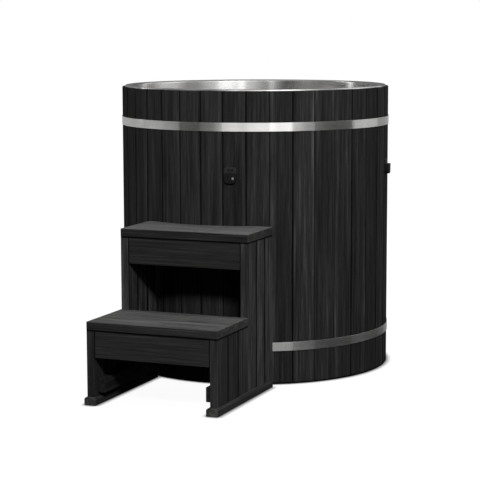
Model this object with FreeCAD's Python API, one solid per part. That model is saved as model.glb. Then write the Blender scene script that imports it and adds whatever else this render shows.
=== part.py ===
"""Coopered cold plunge tub with a steel liner, two hoops, a drain valve and loose two-tread steps.

All sizes are millimetres and degrees. The tub stands on z = 0 with its axis on the Z axis.
An angle round the tub is counted from -Y, the side where the steps stand, towards +X.
A piece on the wall is first drawn facing -Y and then turned about Z to its own angle.
"""
import FreeCAD, Part
import math
import os

V = FreeCAD.Vector

# Tub wall
stave_count = 38
stave_face_radius = 523.4
stave_thickness = 28.0
tub_height = 1090.0
seam_angle = -0.77
stave_joint_gap = 0.2
stave_bevel = 2.0
stave_top_bevel = 2.0
tongue_root = 12.0
tongue_length = 5.0
groove_clearance = 0.15

# Hoops and their tension bolts
hoop_width = 32.5
hoop_thickness = 1.6
hoop_clearance = 0.15
upper_hoop_drop = 146.7
lower_hoop_bottom = 126.0
hoop_joint_angle = 155.6
hoop_split = 30.0
hoop_ear_reach = 24.0
hoop_ear_thickness = 4.0
hoop_ear_bevel = 7.0
hoop_bolt_radius = 4.0
hoop_bolt_overhang = 8.0
hoop_bolt_head_flats = 13.0
hoop_bolt_head_height = 5.3
hoop_nut_height = 6.5
bolt_hole_clearance = 0.25

# Liner, insulation and floor
wall_insulation_thickness = 2.8
insulation_fit = 0.3
liner_sheet = 2.0
lip_height = 6.0
lip_inset = 9.9
lip_inner_roll = 9.0
lip_roll_bands = 3
lip_outer_bevel = 3.5
liner_knuckle = 12.0
liner_seat_gap = 0.2
bearer_width = 48.0
bearer_from_drain = 105.0
bearer_end_gap = 3.0
bearer_bevel = 2.0
floor_board_thickness = 21.0
floor_board_width = 95.0
floor_board_gap = 3.0
floor_insulation_thickness = 20.0

# Drain, drawn along the outward line of its stave
drain_wanted_angle = 184.0
drain_from_wall = 85.0
drain_pipe_radius = 24.0
drain_pipe_wall = 3.5
pipe_floor_gap = 6.0
floor_hole_gap = 12.0
drain_flange_radius = 42.0
drain_flange_thickness = 3.0
drain_gasket_thickness = 1.5
strainer_radius = 34.0
strainer_thickness = 2.0
strainer_slots = 10
strainer_slot_width = 4.0
strainer_slot_start = 8.5
strainer_slot_end = 27.0
locknut_flats = 66.0
locknut_height = 10.0
sump_wall = 3.5
sump_socket_length = 22.0
sump_nut_gap = 3.0
pipe_fit = 0.15
wall_hole_gap = 1.0
collar_width = 70.0
collar_thickness = 3.0
collar_bevel = 12.0

# Plug valve on the drain pipe
valve_wall_gap = 30.0
valve_floor_gap = 6.0
valve_end_wall = 6.0
valve_end_length = 18.0
valve_barrel_wall = 10.0
valve_barrel_length = 60.0
plug_choke = 4.5
plug_wall = 7.0
plug_cap = 3.5
plug_fit = 0.1
stem_radius = 6.0
stem_running_fit = 0.05
stem_tang_thickness = 4.0
stem_tang_width = 11.0
stem_tang_depth = 2.5
stem_end_radius = 4.0
boss_radius = 13.0
boss_height = 50.0
lever_thickness = 4.0
lever_width = 22.0
lever_length = 140.0
lever_hub_length = 22.0
lever_rise = 14.0
lever_ramp_length = 18.0
lever_nut_flats = 13.0
lever_nut_height = 6.0
grip_length = 84.0
grip_wall = 3.0
grip_bevel = 2.5
grip_fit = 0.15
spigot_length = 30.0
spigot_step = 1.0
nut_fit = 0.05

# Strap locks
lock_wanted_angles = {"front": 13.0, "right": 98.0, "rear": 193.0, "left": 279.0}
lock_barrel_drop = 318.0
lock_tread_gap = 40.0
lock_side_offset = -14.5
lock_width = 44.0
lock_depth = 17.0
lock_plate_thickness = 4.0
lock_plate_above = 40.0
lock_pocket_above = 20.0
lock_floor = 9.0
lock_low_corner = 16.0
lock_top_bevel = 6.0
lock_side_wall = 5.0
lock_back_wall = 5.0
lock_front_wall = 4.0
barrel_from_wall = 6.0
barrel_radius = 4.5
barrel_running_fit = 0.05
barrel_proud = 0.6
barrel_inner_reach = 5.0
keyway_width = 1.2
keyway_length = 5.0
keyway_depth = 1.5
cam_reach = 8.1
cam_width = 6.0
cam_thickness = 2.0
cam_gap = 0.36

# Steps
step_width = 502.0
step_board = 29.0
step_side_offset = 13.6
step_clearance = 5.6
lower_tread_depth = 278.0
upper_tread_depth = 241.0
lower_tread_top = 298.0
upper_tread_top = 596.0
boards_per_tread = 3
tread_gap = 2.0
side_board_gap = 0.6
board_edge_bevel = 2.0
side_board_bevel = 2.0
rail_width = 44.5
rail_height = 29.0
rail_outside = 5.8
rail_nose = 12.5
rail_bevel = 6.0
apron_height = 100.0
apron_thickness = 22.0
apron_setback = 3.0
apron_fit = 0.3
foot_batten_height = 53.0
foot_batten_rise = 11.0
batten_thickness = 28.0
tread_batten_height = 45.0
batten_front_inset = 30.0
batten_rear_inset = 40.0

# Two places nearer than this are one
same_place = 0.001

# Sizes worked out from the ones above
half_pitch = math.pi / stave_count
stave_pitch = math.degrees(2 * half_pitch)
stave_inner_radius = stave_face_radius - stave_thickness
stave_half_face = stave_face_radius * math.tan(half_pitch) - stave_bevel
wall_corner_radius = math.hypot(stave_face_radius, stave_half_face)
hoop_inner_radius = wall_corner_radius + hoop_clearance
hoop_outer_radius = hoop_inner_radius + hoop_thickness
hoop_bolt_line = hoop_outer_radius + hoop_ear_reach / 2
upper_hoop_bottom = tub_height - upper_hoop_drop
insulation_outer_radius = stave_inner_radius - insulation_fit
insulation_inner_radius = insulation_outer_radius - wall_insulation_thickness
liner_outer_radius = insulation_inner_radius - insulation_fit
liner_inner_radius = liner_outer_radius - liner_sheet
liner_floor_radius = liner_inner_radius - liner_knuckle
lip_outer_radius = stave_face_radius - lip_inset
lip_top = tub_height + lip_height
valve_barrel_radius = drain_pipe_radius + valve_barrel_wall
valve_end_flats = 2 * (drain_pipe_radius + valve_end_wall)
drain_axis_height = valve_barrel_radius + valve_floor_gap
pipe_bore_radius = drain_pipe_radius - drain_pipe_wall
pipe_hole_radius = drain_pipe_radius + pipe_fit
drain_from_axis = liner_inner_radius - drain_from_wall
bearer_spacing = drain_from_axis - bearer_from_drain
bearer_height = drain_axis_height + drain_pipe_radius + pipe_floor_gap
floor_board_top = bearer_height + floor_board_thickness
liner_floor_bottom = floor_board_top + floor_insulation_thickness
liner_floor_top = liner_floor_bottom + liner_sheet
drain_flange_bottom = liner_floor_top + drain_gasket_thickness
drain_flange_top = drain_flange_bottom + drain_flange_thickness
drain_tail_bottom = liner_floor_bottom - locknut_height - sump_nut_gap - sump_socket_length
drain_floor_hole = locknut_flats / math.sqrt(3) + floor_hole_gap
valve_start = stave_face_radius + valve_wall_gap
valve_center = valve_start + valve_end_length + valve_barrel_length / 2
valve_stop = valve_center + valve_end_length + valve_barrel_length / 2
plug_bore_radius = pipe_bore_radius - plug_choke
plug_radius = plug_bore_radius + plug_wall
plug_reach = plug_bore_radius + plug_cap
plug_top = drain_axis_height + plug_reach
lever_base = drain_axis_height + boss_height + pipe_fit
lock_barrel_height = max(tub_height - lock_barrel_drop, upper_tread_top + lock_tread_gap)
lock_left = lock_side_offset - lock_width / 2
lock_right = lock_side_offset + lock_width / 2
lock_pocket_below = math.hypot(cam_reach, cam_width / 2) + cam_gap
lock_bottom = lock_barrel_height - lock_pocket_below - lock_floor
lock_front = stave_face_radius + lock_depth
barrel_place = lock_right - lock_side_wall - barrel_from_wall
step_arc_radius = wall_corner_radius + step_clearance
step_left = step_side_offset - step_width / 2
step_right = step_side_offset + step_width / 2
step_inner_left = step_left + step_board
step_inner_right = step_right - step_board
step_rear = -math.sqrt(step_arc_radius ** 2 - min(-step_inner_left, step_inner_right) ** 2)
upper_front = step_rear - upper_tread_depth
lower_front = upper_front - lower_tread_depth


def box(x0, x1, y0, y1, z0, z1):
    """A block between two corners."""
    return Part.makeBox(x1 - x0, y1 - y0, z1 - z0, V(x0, y0, z0))


def upright(radius, bottom, top):
    """A round bar on the Z axis between two heights."""
    return Part.makeCylinder(radius, top - bottom, V(0, 0, bottom))


def ring(inner, outer, bottom, top):
    """A tube on the Z axis between two radii and two heights."""
    return upright(outer, bottom, top).cut(upright(inner, bottom, top))


def rod(radius, start, stop, height, x=0.0):
    """A round bar that lies along the outward line -Y, between two distances from the tub's axis."""
    return Part.makeCylinder(radius, stop - start, V(x, -start, height), V(0, -1, 0))


def hexagon(flats, start, stop, point, direction):
    """A six-sided bar along a direction, between two distances from a point on its axis."""
    corner = flats / math.sqrt(3)
    turns = [math.radians(60 * k) for k in range(7)]
    outline = Part.makePolygon([V(corner * math.cos(t), corner * math.sin(t), start) for t in turns])
    bar = Part.Face(outline).extrude(V(0, 0, stop - start))
    bar.Placement = FreeCAD.Placement(point, FreeCAD.Rotation(V(0, 0, 1), direction))
    return bar


def flat_face(points):
    """A flat face inside a closed outline of straight edges."""
    return Part.Face(Part.makePolygon(points + points[:1]))


def polygon_bar(apothem, bottom, top):
    """A many-sided bar on the Z axis with one flat side behind each stave."""
    corner = apothem / math.cos(half_pitch)
    turns = [math.radians(seam_angle + stave_pitch * k) for k in range(stave_count)]
    outline = [V(corner * math.sin(t), -corner * math.cos(t), bottom) for t in turns]
    return flat_face(outline).extrude(V(0, 0, top - bottom))


def spin(face):
    """A full turn of an r-z face about the tub's axis."""
    return face.revolve(V(0, 0, 0), V(0, 0, 1), 360)


def turned(shape, degrees):
    """A copy turned about the tub's axis."""
    copy = shape.copy()
    copy.rotate(V(0, 0, 0), V(0, 0, 1), degrees)
    return copy


def stave_angle(index):
    """The angle of the middle of one stave."""
    return seam_angle + stave_pitch * (index + 0.5)


def nearest_stave(degrees):
    """The number of the stave whose middle lies nearest to an angle."""
    return round((degrees - seam_angle) / stave_pitch - 0.5) % stave_count


def beveled_edges(shape, size, chosen):
    """Bevel the edges of a shape that the test picks out."""
    return shape.makeChamfer(size, [edge for edge in shape.Edges if chosen(edge)])


def at(edge, x=None, y=None, z=None):
    """Whether the middle of an edge lies at the places that are given."""
    middle = edge.BoundBox.Center
    wanted = ((middle.x, x), (middle.y, y), (middle.z, z))
    return all(place is None or abs(here - place) < same_place for here, place in wanted)


def side_x(y):
    """Half the width of a stave at a place y on the front, up to its radial side."""
    return -y * math.tan(half_pitch) - stave_joint_gap / (2 * math.cos(half_pitch))


def make_stave():
    """A stave with radial sides, a pointed tongue on one, its groove on the other and a beveled front."""
    front = -stave_face_radius
    back = -stave_inner_radius
    middle = (front + back) / 2
    lean_x = math.sin(half_pitch)
    lean_y = -math.cos(half_pitch)

    def joint_point(sign, along, across):
        x = side_x(middle) + along * lean_x - across * lean_y
        y = middle + along * lean_y + across * lean_x
        return V(sign * x, y, 0)

    root = tongue_root / 2
    groove = root + groove_clearance
    shoulder = front + stave_bevel
    outline = Part.Face(Part.makePolygon([
        V(stave_half_face, front, 0),
        V(side_x(shoulder), shoulder, 0),
        joint_point(1, root, 0),
        joint_point(1, 0, tongue_length),
        joint_point(1, -root, 0),
        V(side_x(back), back, 0),
        V(-side_x(back), back, 0),
        joint_point(-1, -groove, 0),
        joint_point(-1, 0, -tongue_length - groove_clearance),
        joint_point(-1, groove, 0),
        V(-side_x(shoulder), shoulder, 0),
        V(-stave_half_face, front, 0),
        V(stave_half_face, front, 0),
    ]))
    stave = outline.extrude(V(0, 0, tub_height))
    return beveled_edges(stave, stave_top_bevel, lambda e: at(e, y=front, z=tub_height))


def make_hoop(bottom):
    """A split band with its two ends turned out as drilled ears."""
    top = bottom + hoop_width
    band = ring(hoop_inner_radius, hoop_outer_radius, bottom, top)
    half = hoop_split / 2
    reach = hoop_outer_radius + hoop_ear_reach
    root = math.sqrt(hoop_inner_radius ** 2 - half ** 2)
    band = band.cut(box(-half, half, -reach, 0, bottom, top))
    for left in (-half - hoop_ear_thickness, half):
        ear = box(left, left + hoop_ear_thickness, -reach, -root - hoop_thickness / 2, bottom, top)
        ear = beveled_edges(ear, hoop_ear_bevel, lambda e: at(e, x=left + hoop_ear_thickness / 2, y=-reach))
        band = band.fuse(ear)
    end = half + hoop_ear_thickness
    hole = Part.makeCylinder(hoop_bolt_radius + bolt_hole_clearance, 2 * end,
                             V(-end, -hoop_bolt_line, bottom + hoop_width / 2), V(1, 0, 0))
    return turned(band.cut(hole).removeSplitter(), hoop_joint_angle)


def make_hoop_bolt(bottom):
    """A hexagon bolt that draws the two ears of a hoop together."""
    center = V(0, -hoop_bolt_line, bottom + hoop_width / 2)
    face = hoop_split / 2 + hoop_ear_thickness
    end = face + hoop_nut_height + hoop_bolt_overhang
    shank = Part.makeCylinder(hoop_bolt_radius, end + face, center - V(face, 0, 0), V(1, 0, 0))
    head = hexagon(hoop_bolt_head_flats, face, face + hoop_bolt_head_height, center, V(-1, 0, 0))
    return turned(shank.fuse(head).removeSplitter(), hoop_joint_angle)


def make_hoop_nut(bottom):
    """The hexagon nut on a hoop bolt."""
    center = V(0, -hoop_bolt_line, bottom + hoop_width / 2)
    face = hoop_split / 2 + hoop_ear_thickness
    nut = hexagon(hoop_bolt_head_flats, face, face + hoop_nut_height, center, V(1, 0, 0))
    start = center + V(face, 0, 0)
    bore = Part.makeCylinder(hoop_bolt_radius + nut_fit, hoop_nut_height, start, V(1, 0, 0))
    return turned(nut.cut(bore), hoop_joint_angle)


def make_liner_wall():
    """The liner's wall, one sheet rolled out over the stave tops, and beveled in to the floor below."""
    roll_z = lip_top - lip_inner_roll
    roll_r = liner_inner_radius + lip_inner_roll
    edge_r = lip_outer_radius - lip_outer_bevel
    edge_z = lip_top - lip_outer_bevel
    knuckle_z = liner_floor_top + liner_knuckle
    lip_end = tub_height + liner_seat_gap
    bands = [math.radians(90 * k / lip_roll_bands) for k in range(lip_roll_bands + 1)]
    roll = [V(roll_r, 0, roll_z) + V(-math.cos(t), 0, math.sin(t)) * lip_inner_roll for t in bands]
    return spin(flat_face([
        V(liner_floor_radius, 0, liner_floor_top),
        V(liner_inner_radius, 0, knuckle_z),
        *roll,
        V(edge_r, 0, lip_top),
        V(lip_outer_radius, 0, edge_z),
        V(lip_outer_radius, 0, lip_end),
        V(lip_outer_radius - liner_sheet, 0, lip_end),
        V(edge_r, 0, lip_top - liner_sheet),
        V(roll_r, 0, lip_top - liner_sheet),
        V(liner_outer_radius, 0, roll_z),
        V(liner_outer_radius, 0, knuckle_z),
        V(liner_floor_radius, 0, liner_floor_bottom),
    ]))


def at_drain(shape):
    """A shape drawn round the Z axis, moved out to the drain and turned to its angle."""
    moved = shape.copy()
    moved.translate(V(0, -drain_from_axis, 0))
    return turned(moved, drain_angle)


def make_liner_floor():
    """The flat floor sheet, welded inside the wall's bevel, with the drain hole."""
    sheet = upright(liner_floor_radius, liner_floor_bottom, liner_floor_top)
    return sheet.cut(at_drain(upright(pipe_hole_radius, liner_floor_bottom, liner_floor_top)))


def make_wall_insulation():
    """The foam mat between the liner and the staves."""
    top = lip_top - lip_inner_roll
    mat = polygon_bar(insulation_outer_radius, floor_board_top, top)
    return mat.cut(polygon_bar(insulation_inner_radius, floor_board_top, top))


def make_floor_insulation():
    """The foam slab under the liner's floor."""
    slab = polygon_bar(liner_floor_radius, floor_board_top, liner_floor_bottom)
    return slab.cut(at_drain(upright(drain_floor_hole, floor_board_top, liner_floor_bottom)))


def make_bearer(y):
    """A joist that runs along X between the staves."""
    near_wall = stave_inner_radius - bearer_end_gap
    half_width = bearer_width / 2
    half = math.sqrt(near_wall ** 2 - (abs(y) + half_width) ** 2)
    bearer = box(-half, half, y - half_width, y + half_width, 0, bearer_height)
    return beveled_edges(bearer, bearer_bevel, lambda e: e.BoundBox.XLength > half)


def make_floor_boards():
    """The deck of boards on the joists, cut to the staves all round, each board its own solid."""
    deck = polygon_bar(insulation_outer_radius, bearer_height, floor_board_top)
    deck = deck.cut(at_drain(upright(drain_floor_hole, bearer_height, floor_board_top)))
    radius = stave_inner_radius
    pitch = floor_board_width + floor_board_gap
    count = math.ceil((2 * radius - floor_board_width) / pitch / 2)
    boards = []
    for k in range(-count, count + 1):
        left = k * pitch - floor_board_width / 2
        strip = box(left, left + floor_board_width, -radius, radius, bearer_height, floor_board_top)
        boards += deck.common(strip).Solids
    return Part.makeCompound(boards)


def make_drain_gasket():
    """The rubber ring between the drain's flange and the floor sheet."""
    return at_drain(ring(pipe_hole_radius, drain_flange_radius, liner_floor_top, drain_flange_bottom))


def make_drain_flange():
    """The drain's flange with a recess for the strainer and its tail."""
    flange = upright(drain_flange_radius, drain_flange_bottom, drain_flange_top)
    flange = flange.fuse(upright(drain_pipe_radius, drain_tail_bottom, drain_flange_bottom))
    seat = drain_flange_top - strainer_thickness
    flange = flange.cut(upright(strainer_radius + pipe_fit, seat, drain_flange_top))
    flange = flange.cut(upright(pipe_bore_radius, drain_tail_bottom, drain_flange_top))
    return at_drain(flange.removeSplitter())


def make_strainer():
    """The slotted plate that lies in the drain's flange."""
    bottom = drain_flange_top - strainer_thickness
    half = strainer_slot_width / 2
    plate = upright(strainer_radius, bottom, drain_flange_top)
    slot = box(strainer_slot_start, strainer_slot_end, -half, half, bottom, drain_flange_top)
    for k in range(strainer_slots):
        plate = plate.cut(turned(slot, 360.0 * k / strainer_slots))
    return at_drain(plate)


def make_locknut():
    """The nut that clamps the drain from under the floor sheet."""
    bottom = liner_floor_bottom - locknut_height
    nut = hexagon(locknut_flats, bottom, liner_floor_bottom, V(0, 0, 0), V(0, 0, 1))
    return at_drain(nut.cut(upright(drain_pipe_radius + nut_fit, bottom, liner_floor_bottom)))


def make_drain_sump():
    """The pot under the floor, open to the drain's tail, with its outlet pipe out through the wall."""
    end = valve_start + valve_end_length - pipe_fit
    bottom = drain_axis_height - pipe_bore_radius
    top = drain_tail_bottom + sump_socket_length
    sump = at_drain(upright(pipe_hole_radius + sump_wall, bottom - sump_wall, top))
    sump = sump.fuse(turned(rod(drain_pipe_radius, drain_from_axis, end, drain_axis_height), drain_angle))
    sump = sump.cut(at_drain(upright(pipe_hole_radius, bottom, top)))
    sump = sump.cut(turned(rod(pipe_bore_radius, drain_from_axis, end, drain_axis_height), drain_angle))
    return sump.removeSplitter()


def make_wall_collar():
    """The square rubber plate that closes the pipe's hole on the face of its stave."""
    stop = stave_face_radius + collar_thickness
    half = collar_width / 2
    low = drain_axis_height - half
    plate = box(-half, half, -stop, -stave_face_radius, low, low + collar_width)
    plate = beveled_edges(plate, collar_bevel, lambda e: at(e, y=-stave_face_radius - collar_thickness / 2))
    return turned(plate.cut(rod(pipe_hole_radius, stave_face_radius, stop, drain_axis_height)), drain_angle)


def make_valve_body():
    """The valve's barrel with two hexagon ends, a stem boss, the water way and the plug's chamber."""
    point = V(0, 0, drain_axis_height)
    out = V(0, -1, 0)
    barrel_start = valve_start + valve_end_length
    barrel_stop = valve_stop - valve_end_length
    middle = V(0, -valve_center, drain_axis_height)
    body = rod(valve_barrel_radius, barrel_start, barrel_stop, drain_axis_height)
    body = body.fuse(hexagon(valve_end_flats, valve_start, barrel_start, point, out))
    body = body.fuse(hexagon(valve_end_flats, barrel_stop, valve_stop, point, out))
    body = body.fuse(Part.makeCylinder(boss_radius, boss_height, middle))
    body = body.cut(rod(pipe_hole_radius, valve_start, barrel_start, drain_axis_height))
    body = body.cut(rod(pipe_hole_radius, barrel_stop, valve_stop, drain_axis_height))
    body = body.cut(rod(plug_bore_radius, barrel_start, barrel_stop, drain_axis_height))
    body = body.cut(Part.makeCylinder(stem_radius + stem_running_fit, boss_height, middle))
    chamber_bottom = drain_axis_height - plug_reach - plug_fit
    chamber = upright(plug_radius + plug_fit, chamber_bottom, plug_top + plug_fit)
    return turned(body.removeSplitter(), drain_angle).cut(on_valve(chamber))


def make_valve_plug():
    """The round plug with its cross bore, shut at rest, and the slot for the stem's tang."""
    plug = upright(plug_radius, drain_axis_height - plug_reach, plug_top)
    side = V(-plug_radius, 0, drain_axis_height)
    plug = plug.cut(Part.makeCylinder(plug_bore_radius, 2 * plug_radius, side, V(1, 0, 0)))
    half_width = stem_tang_width / 2 + plug_fit
    half = stem_tang_thickness / 2 + plug_fit
    plug = plug.cut(box(-half_width, half_width, -half, half, plug_top - stem_tang_depth, plug_top))
    return on_valve(plug)


def make_valve_stem():
    """The stem with a flat tang below and a thin end for the lever and its nut."""
    shoulder = plug_top + plug_fit
    half = stem_tang_thickness / 2
    stem = box(-stem_tang_width / 2, stem_tang_width / 2, -half, half, shoulder - stem_tang_depth, shoulder)
    stem = stem.fuse(upright(stem_radius, shoulder, lever_base))
    stem = stem.fuse(upright(stem_end_radius, lever_base, lever_base + lever_thickness + lever_nut_height))
    return on_valve(stem.removeSplitter())


def on_valve(shape):
    """A shape drawn round the Z axis, moved out to the valve's stem and turned to the drain's angle."""
    moved = shape.copy()
    moved.translate(V(0, -valve_center, 0))
    return turned(moved, drain_angle)


def lever_side():
    """The lever's side outline: flat at the hub, a ramp and the raised arm."""
    low = lever_base
    high = lever_base + lever_thickness
    ramp_end = lever_hub_length + lever_ramp_length
    return [V(0, 0, low), V(lever_hub_length, 0, low), V(ramp_end, 0, low + lever_rise),
            V(lever_length, 0, low + lever_rise), V(lever_length, 0, high + lever_rise),
            V(ramp_end, 0, high + lever_rise), V(lever_hub_length, 0, high), V(0, 0, high)]


def make_lever():
    """The flat lever with a round hub, a bend upwards and a straight arm."""
    half = lever_width / 2
    hub_top = lever_base + lever_thickness
    blade = flat_face(lever_side()).extrude(V(0, lever_width, 0))
    blade.translate(V(0, -half, 0))
    lever = blade.fuse(upright(half, lever_base, hub_top))
    lever = lever.cut(upright(stem_end_radius + nut_fit, lever_base, hub_top))
    return on_valve(lever.removeSplitter())


def make_lever_grip():
    """The soft sleeve pushed over the lever's arm."""
    low = lever_base + lever_rise
    high = low + lever_thickness
    half = lever_width / 2
    start = lever_length - grip_length
    wall = grip_wall
    sleeve = box(start, lever_length + wall, -half - wall, half + wall, low - wall, high + wall)
    sleeve = beveled_edges(sleeve, grip_bevel, lambda e: e.BoundBox.XLength > grip_length)
    fit = grip_fit
    sleeve = sleeve.cut(box(start, lever_length + fit, -half - fit, half + fit, low - fit, high + fit))
    return on_valve(sleeve)


def make_lever_nut():
    """The nut that holds the lever on the stem."""
    bottom = lever_base + lever_thickness
    top = bottom + lever_nut_height
    nut = hexagon(lever_nut_flats, bottom, top, V(0, 0, 0), V(0, 0, 1))
    return on_valve(nut.cut(upright(stem_end_radius + nut_fit, bottom, top)))


def make_spigot():
    """The outlet stub that a hose is pushed over."""
    start = valve_stop - valve_end_length + pipe_fit
    stop = valve_stop + spigot_length
    outlet = rod(drain_pipe_radius, start, valve_stop, drain_axis_height)
    outlet = outlet.fuse(rod(drain_pipe_radius + spigot_step, valve_stop, stop, drain_axis_height))
    return turned(outlet.cut(rod(pipe_bore_radius, start, stop, drain_axis_height)), drain_angle)


def lock_plate(top, depth):
    """A block on the stave's face as wide as the lock, with its two lower corners rounded."""
    back = -stave_face_radius
    plate = box(lock_left, lock_right, back - depth, back, lock_bottom, top)
    corners = [edge for edge in plate.Edges if at(edge, y=back - depth / 2, z=lock_bottom)]
    return plate.makeFillet(lock_low_corner, corners)


def make_lock_housing(index):
    """A strap lock's moulded housing: a flat plate, a pocket open at the top and the barrel's hole."""
    level = lock_barrel_height
    face = stave_face_radius
    plate_top = level + lock_plate_above
    block_top = level + lock_pocket_above
    plate = lock_plate(plate_top, lock_plate_thickness)
    plate_middle = -face - lock_plate_thickness / 2
    plate = beveled_edges(plate, lock_top_bevel, lambda e: at(e, y=plate_middle, z=plate_top))
    body = plate.fuse(lock_plate(block_top, lock_depth))
    body = body.cut(box(lock_left + lock_side_wall, lock_right - lock_side_wall,
                        -lock_front + lock_front_wall, -face - lock_back_wall,
                        level - lock_pocket_below, block_top))
    hole_radius = barrel_radius + barrel_running_fit
    body = body.cut(rod(hole_radius, face + lock_back_wall, lock_front, level, barrel_place))
    return turned(body.removeSplitter(), stave_angle(index))


def make_lock_barrel(index):
    """The key barrel with its keyway and the cam that bars the pocket."""
    level = lock_barrel_height
    tip = lock_front + barrel_proud
    inner = lock_front - lock_front_wall - barrel_inner_reach
    half_cam = cam_width / 2
    half_key = keyway_width / 2
    barrel = rod(barrel_radius, inner, tip, level, barrel_place)
    barrel = barrel.fuse(box(barrel_place - half_cam, barrel_place + half_cam,
                             -inner - cam_thickness, -inner, level - cam_reach, level))
    barrel = barrel.cut(box(barrel_place - half_key, barrel_place + half_key, -tip, -tip + keyway_depth,
                            level - keyway_length / 2, level + keyway_length / 2))
    return turned(barrel.removeSplitter(), stave_angle(index))


def make_staves():
    """All staves, with the drain pipe's hole in one of them, sorted into the four sides of the tub."""
    pattern = make_stave()
    hole = rod(pipe_hole_radius + wall_hole_gap, stave_inner_radius, stave_face_radius, drain_axis_height)
    drilled = pattern.cut(hole)
    names = ("staves_front", "staves_right", "staves_rear", "staves_left")
    sides = {name: [] for name in names}
    for index in range(stave_count):
        stave = drilled if index == drain_stave else pattern
        quarter = int((stave_angle(index) + 45.0) % 360.0 // 90.0)
        sides[names[quarter]].append(turned(stave, stave_angle(index)))
    return {name: Part.makeCompound(group) for name, group in sides.items()}


def make_rail(left):
    """A foot rail with beveled upper edges, which carries one side of the steps."""
    front = lower_front - rail_nose
    rear = step_rear - rail_nose
    rail = box(left, left + rail_width, front, rear, 0, rail_height)
    return beveled_edges(rail, rail_bevel, lambda e: at(e, y=(front + rear) / 2, z=rail_height))


def make_side_boards(left, front, depth, top):
    """A row of upright boards with a small V at each seam on both faces."""
    pitch = depth / boards_per_tread
    boards = []
    for k in range(boards_per_tread):
        start = front + k * pitch
        board = box(left, left + step_board, start + side_board_gap / 2, start + pitch - side_board_gap / 2,
                    rail_height, top)
        boards.append(beveled_edges(board, side_board_bevel, lambda e: at(e, z=(rail_height + top) / 2)))
    return Part.makeCompound(boards)


def make_tread_board(front, depth, top, number):
    """One board of a tread, eased along its edges and cut clear of the tub's wall."""
    pitch = (depth + tread_gap) / boards_per_tread
    start = front + number * pitch
    board = box(step_left, step_right, start, start + pitch - tread_gap, top - step_board, top)
    board = beveled_edges(board, board_edge_bevel, lambda e: at(e, x=step_side_offset, z=top))
    return board.cut(Part.makeCylinder(step_arc_radius, 2 * top))


def make_apron(front, top):
    """The board under a tread's front edge, between the sides."""
    face = front + apron_setback
    upper = top - step_board
    lower = upper - apron_height
    apron = box(step_inner_left + apron_fit, step_inner_right - apron_fit,
                face, face + apron_thickness, lower, upper)
    return beveled_edges(apron, board_edge_bevel, lambda e: at(e, x=step_side_offset, y=face, z=lower))


def make_batten(left, front, rear, bottom, height):
    """A batten along the inside of a side, across all its boards."""
    batten = box(left, left + batten_thickness, front, rear, bottom, bottom + height)
    return beveled_edges(batten, board_edge_bevel, lambda e: at(e, y=(front + rear) / 2, x=left)
                         or at(e, y=(front + rear) / 2, x=left + batten_thickness))


def make_steps():
    """All boards of the steps."""
    lower_under = lower_tread_top - step_board
    upper_under = upper_tread_top - step_board
    apron_back = apron_setback + apron_thickness
    sides = {
        "left": (step_left, step_inner_left, step_left - rail_outside),
        "right": (step_inner_right, step_inner_right - batten_thickness,
                  step_right + rail_outside - rail_width),
    }
    pieces = {}
    for side, (board_left, batten_left, rail_left) in sides.items():
        pieces["foot_rail_" + side] = make_rail(rail_left)
        pieces["short_boards_" + side] = make_side_boards(
            board_left, lower_front, lower_tread_depth, lower_under)
        pieces["tall_boards_" + side] = make_side_boards(
            board_left, upper_front, upper_tread_depth, upper_under)
        pieces["foot_batten_" + side] = make_batten(
            batten_left, lower_front + batten_front_inset, step_rear - batten_rear_inset,
            rail_height + foot_batten_rise, foot_batten_height)
        pieces["lower_tread_batten_" + side] = make_batten(
            batten_left, lower_front + apron_back, upper_front - tread_gap,
            lower_under - tread_batten_height, tread_batten_height)
        pieces["upper_tread_batten_" + side] = make_batten(
            batten_left, upper_front + apron_back, step_rear - batten_rear_inset,
            upper_under - tread_batten_height, tread_batten_height)
    for number, place in enumerate(("front", "middle", "rear")):
        pieces["lower_tread_" + place] = make_tread_board(
            lower_front, lower_tread_depth - tread_gap, lower_tread_top, number)
        pieces["upper_tread_" + place] = make_tread_board(
            upper_front, upper_tread_depth, upper_tread_top, number)
    pieces["lower_apron"] = make_apron(lower_front, lower_tread_top)
    pieces["upper_apron"] = make_apron(upper_front, upper_tread_top)
    return pieces


def make_drain():
    """The drain, from the strainer in the floor to the outlet."""
    return {
        "drain_gasket": make_drain_gasket(),
        "drain_flange": make_drain_flange(),
        "drain_strainer": make_strainer(),
        "drain_locknut": make_locknut(),
        "drain_sump": make_drain_sump(),
        "wall_collar": make_wall_collar(),
        "valve_body": make_valve_body(),
        "valve_plug": make_valve_plug(),
        "valve_stem": make_valve_stem(),
        "valve_lever": make_lever(),
        "lever_grip": make_lever_grip(),
        "lever_nut": make_lever_nut(),
        "drain_spigot": make_spigot(),
    }


def make_tub():
    """The tub's wall, liner, floor, hoops and locks."""
    hoop_bottoms = (upper_hoop_bottom, lower_hoop_bottom)
    pieces = {
        "base_bearer_front": make_bearer(-bearer_spacing),
        "base_bearer_middle": make_bearer(0.0),
        "base_bearer_rear": make_bearer(bearer_spacing),
        "floor_boards": make_floor_boards(),
        "floor_insulation": make_floor_insulation(),
        "wall_insulation": make_wall_insulation(),
        "liner_floor": make_liner_floor(),
        "liner_wall": make_liner_wall(),
        "upper_hoop": make_hoop(upper_hoop_bottom),
        "lower_hoop": make_hoop(lower_hoop_bottom),
        "hoop_bolts": Part.makeCompound([make_hoop_bolt(bottom) for bottom in hoop_bottoms]),
        "hoop_nuts": Part.makeCompound([make_hoop_nut(bottom) for bottom in hoop_bottoms]),
    }
    pieces.update(make_staves())
    for side, degrees in lock_wanted_angles.items():
        index = nearest_stave(degrees)
        pieces["lock_housing_" + side] = make_lock_housing(index)
        pieces["lock_barrel_" + side] = make_lock_barrel(index)
    return pieces


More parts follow.
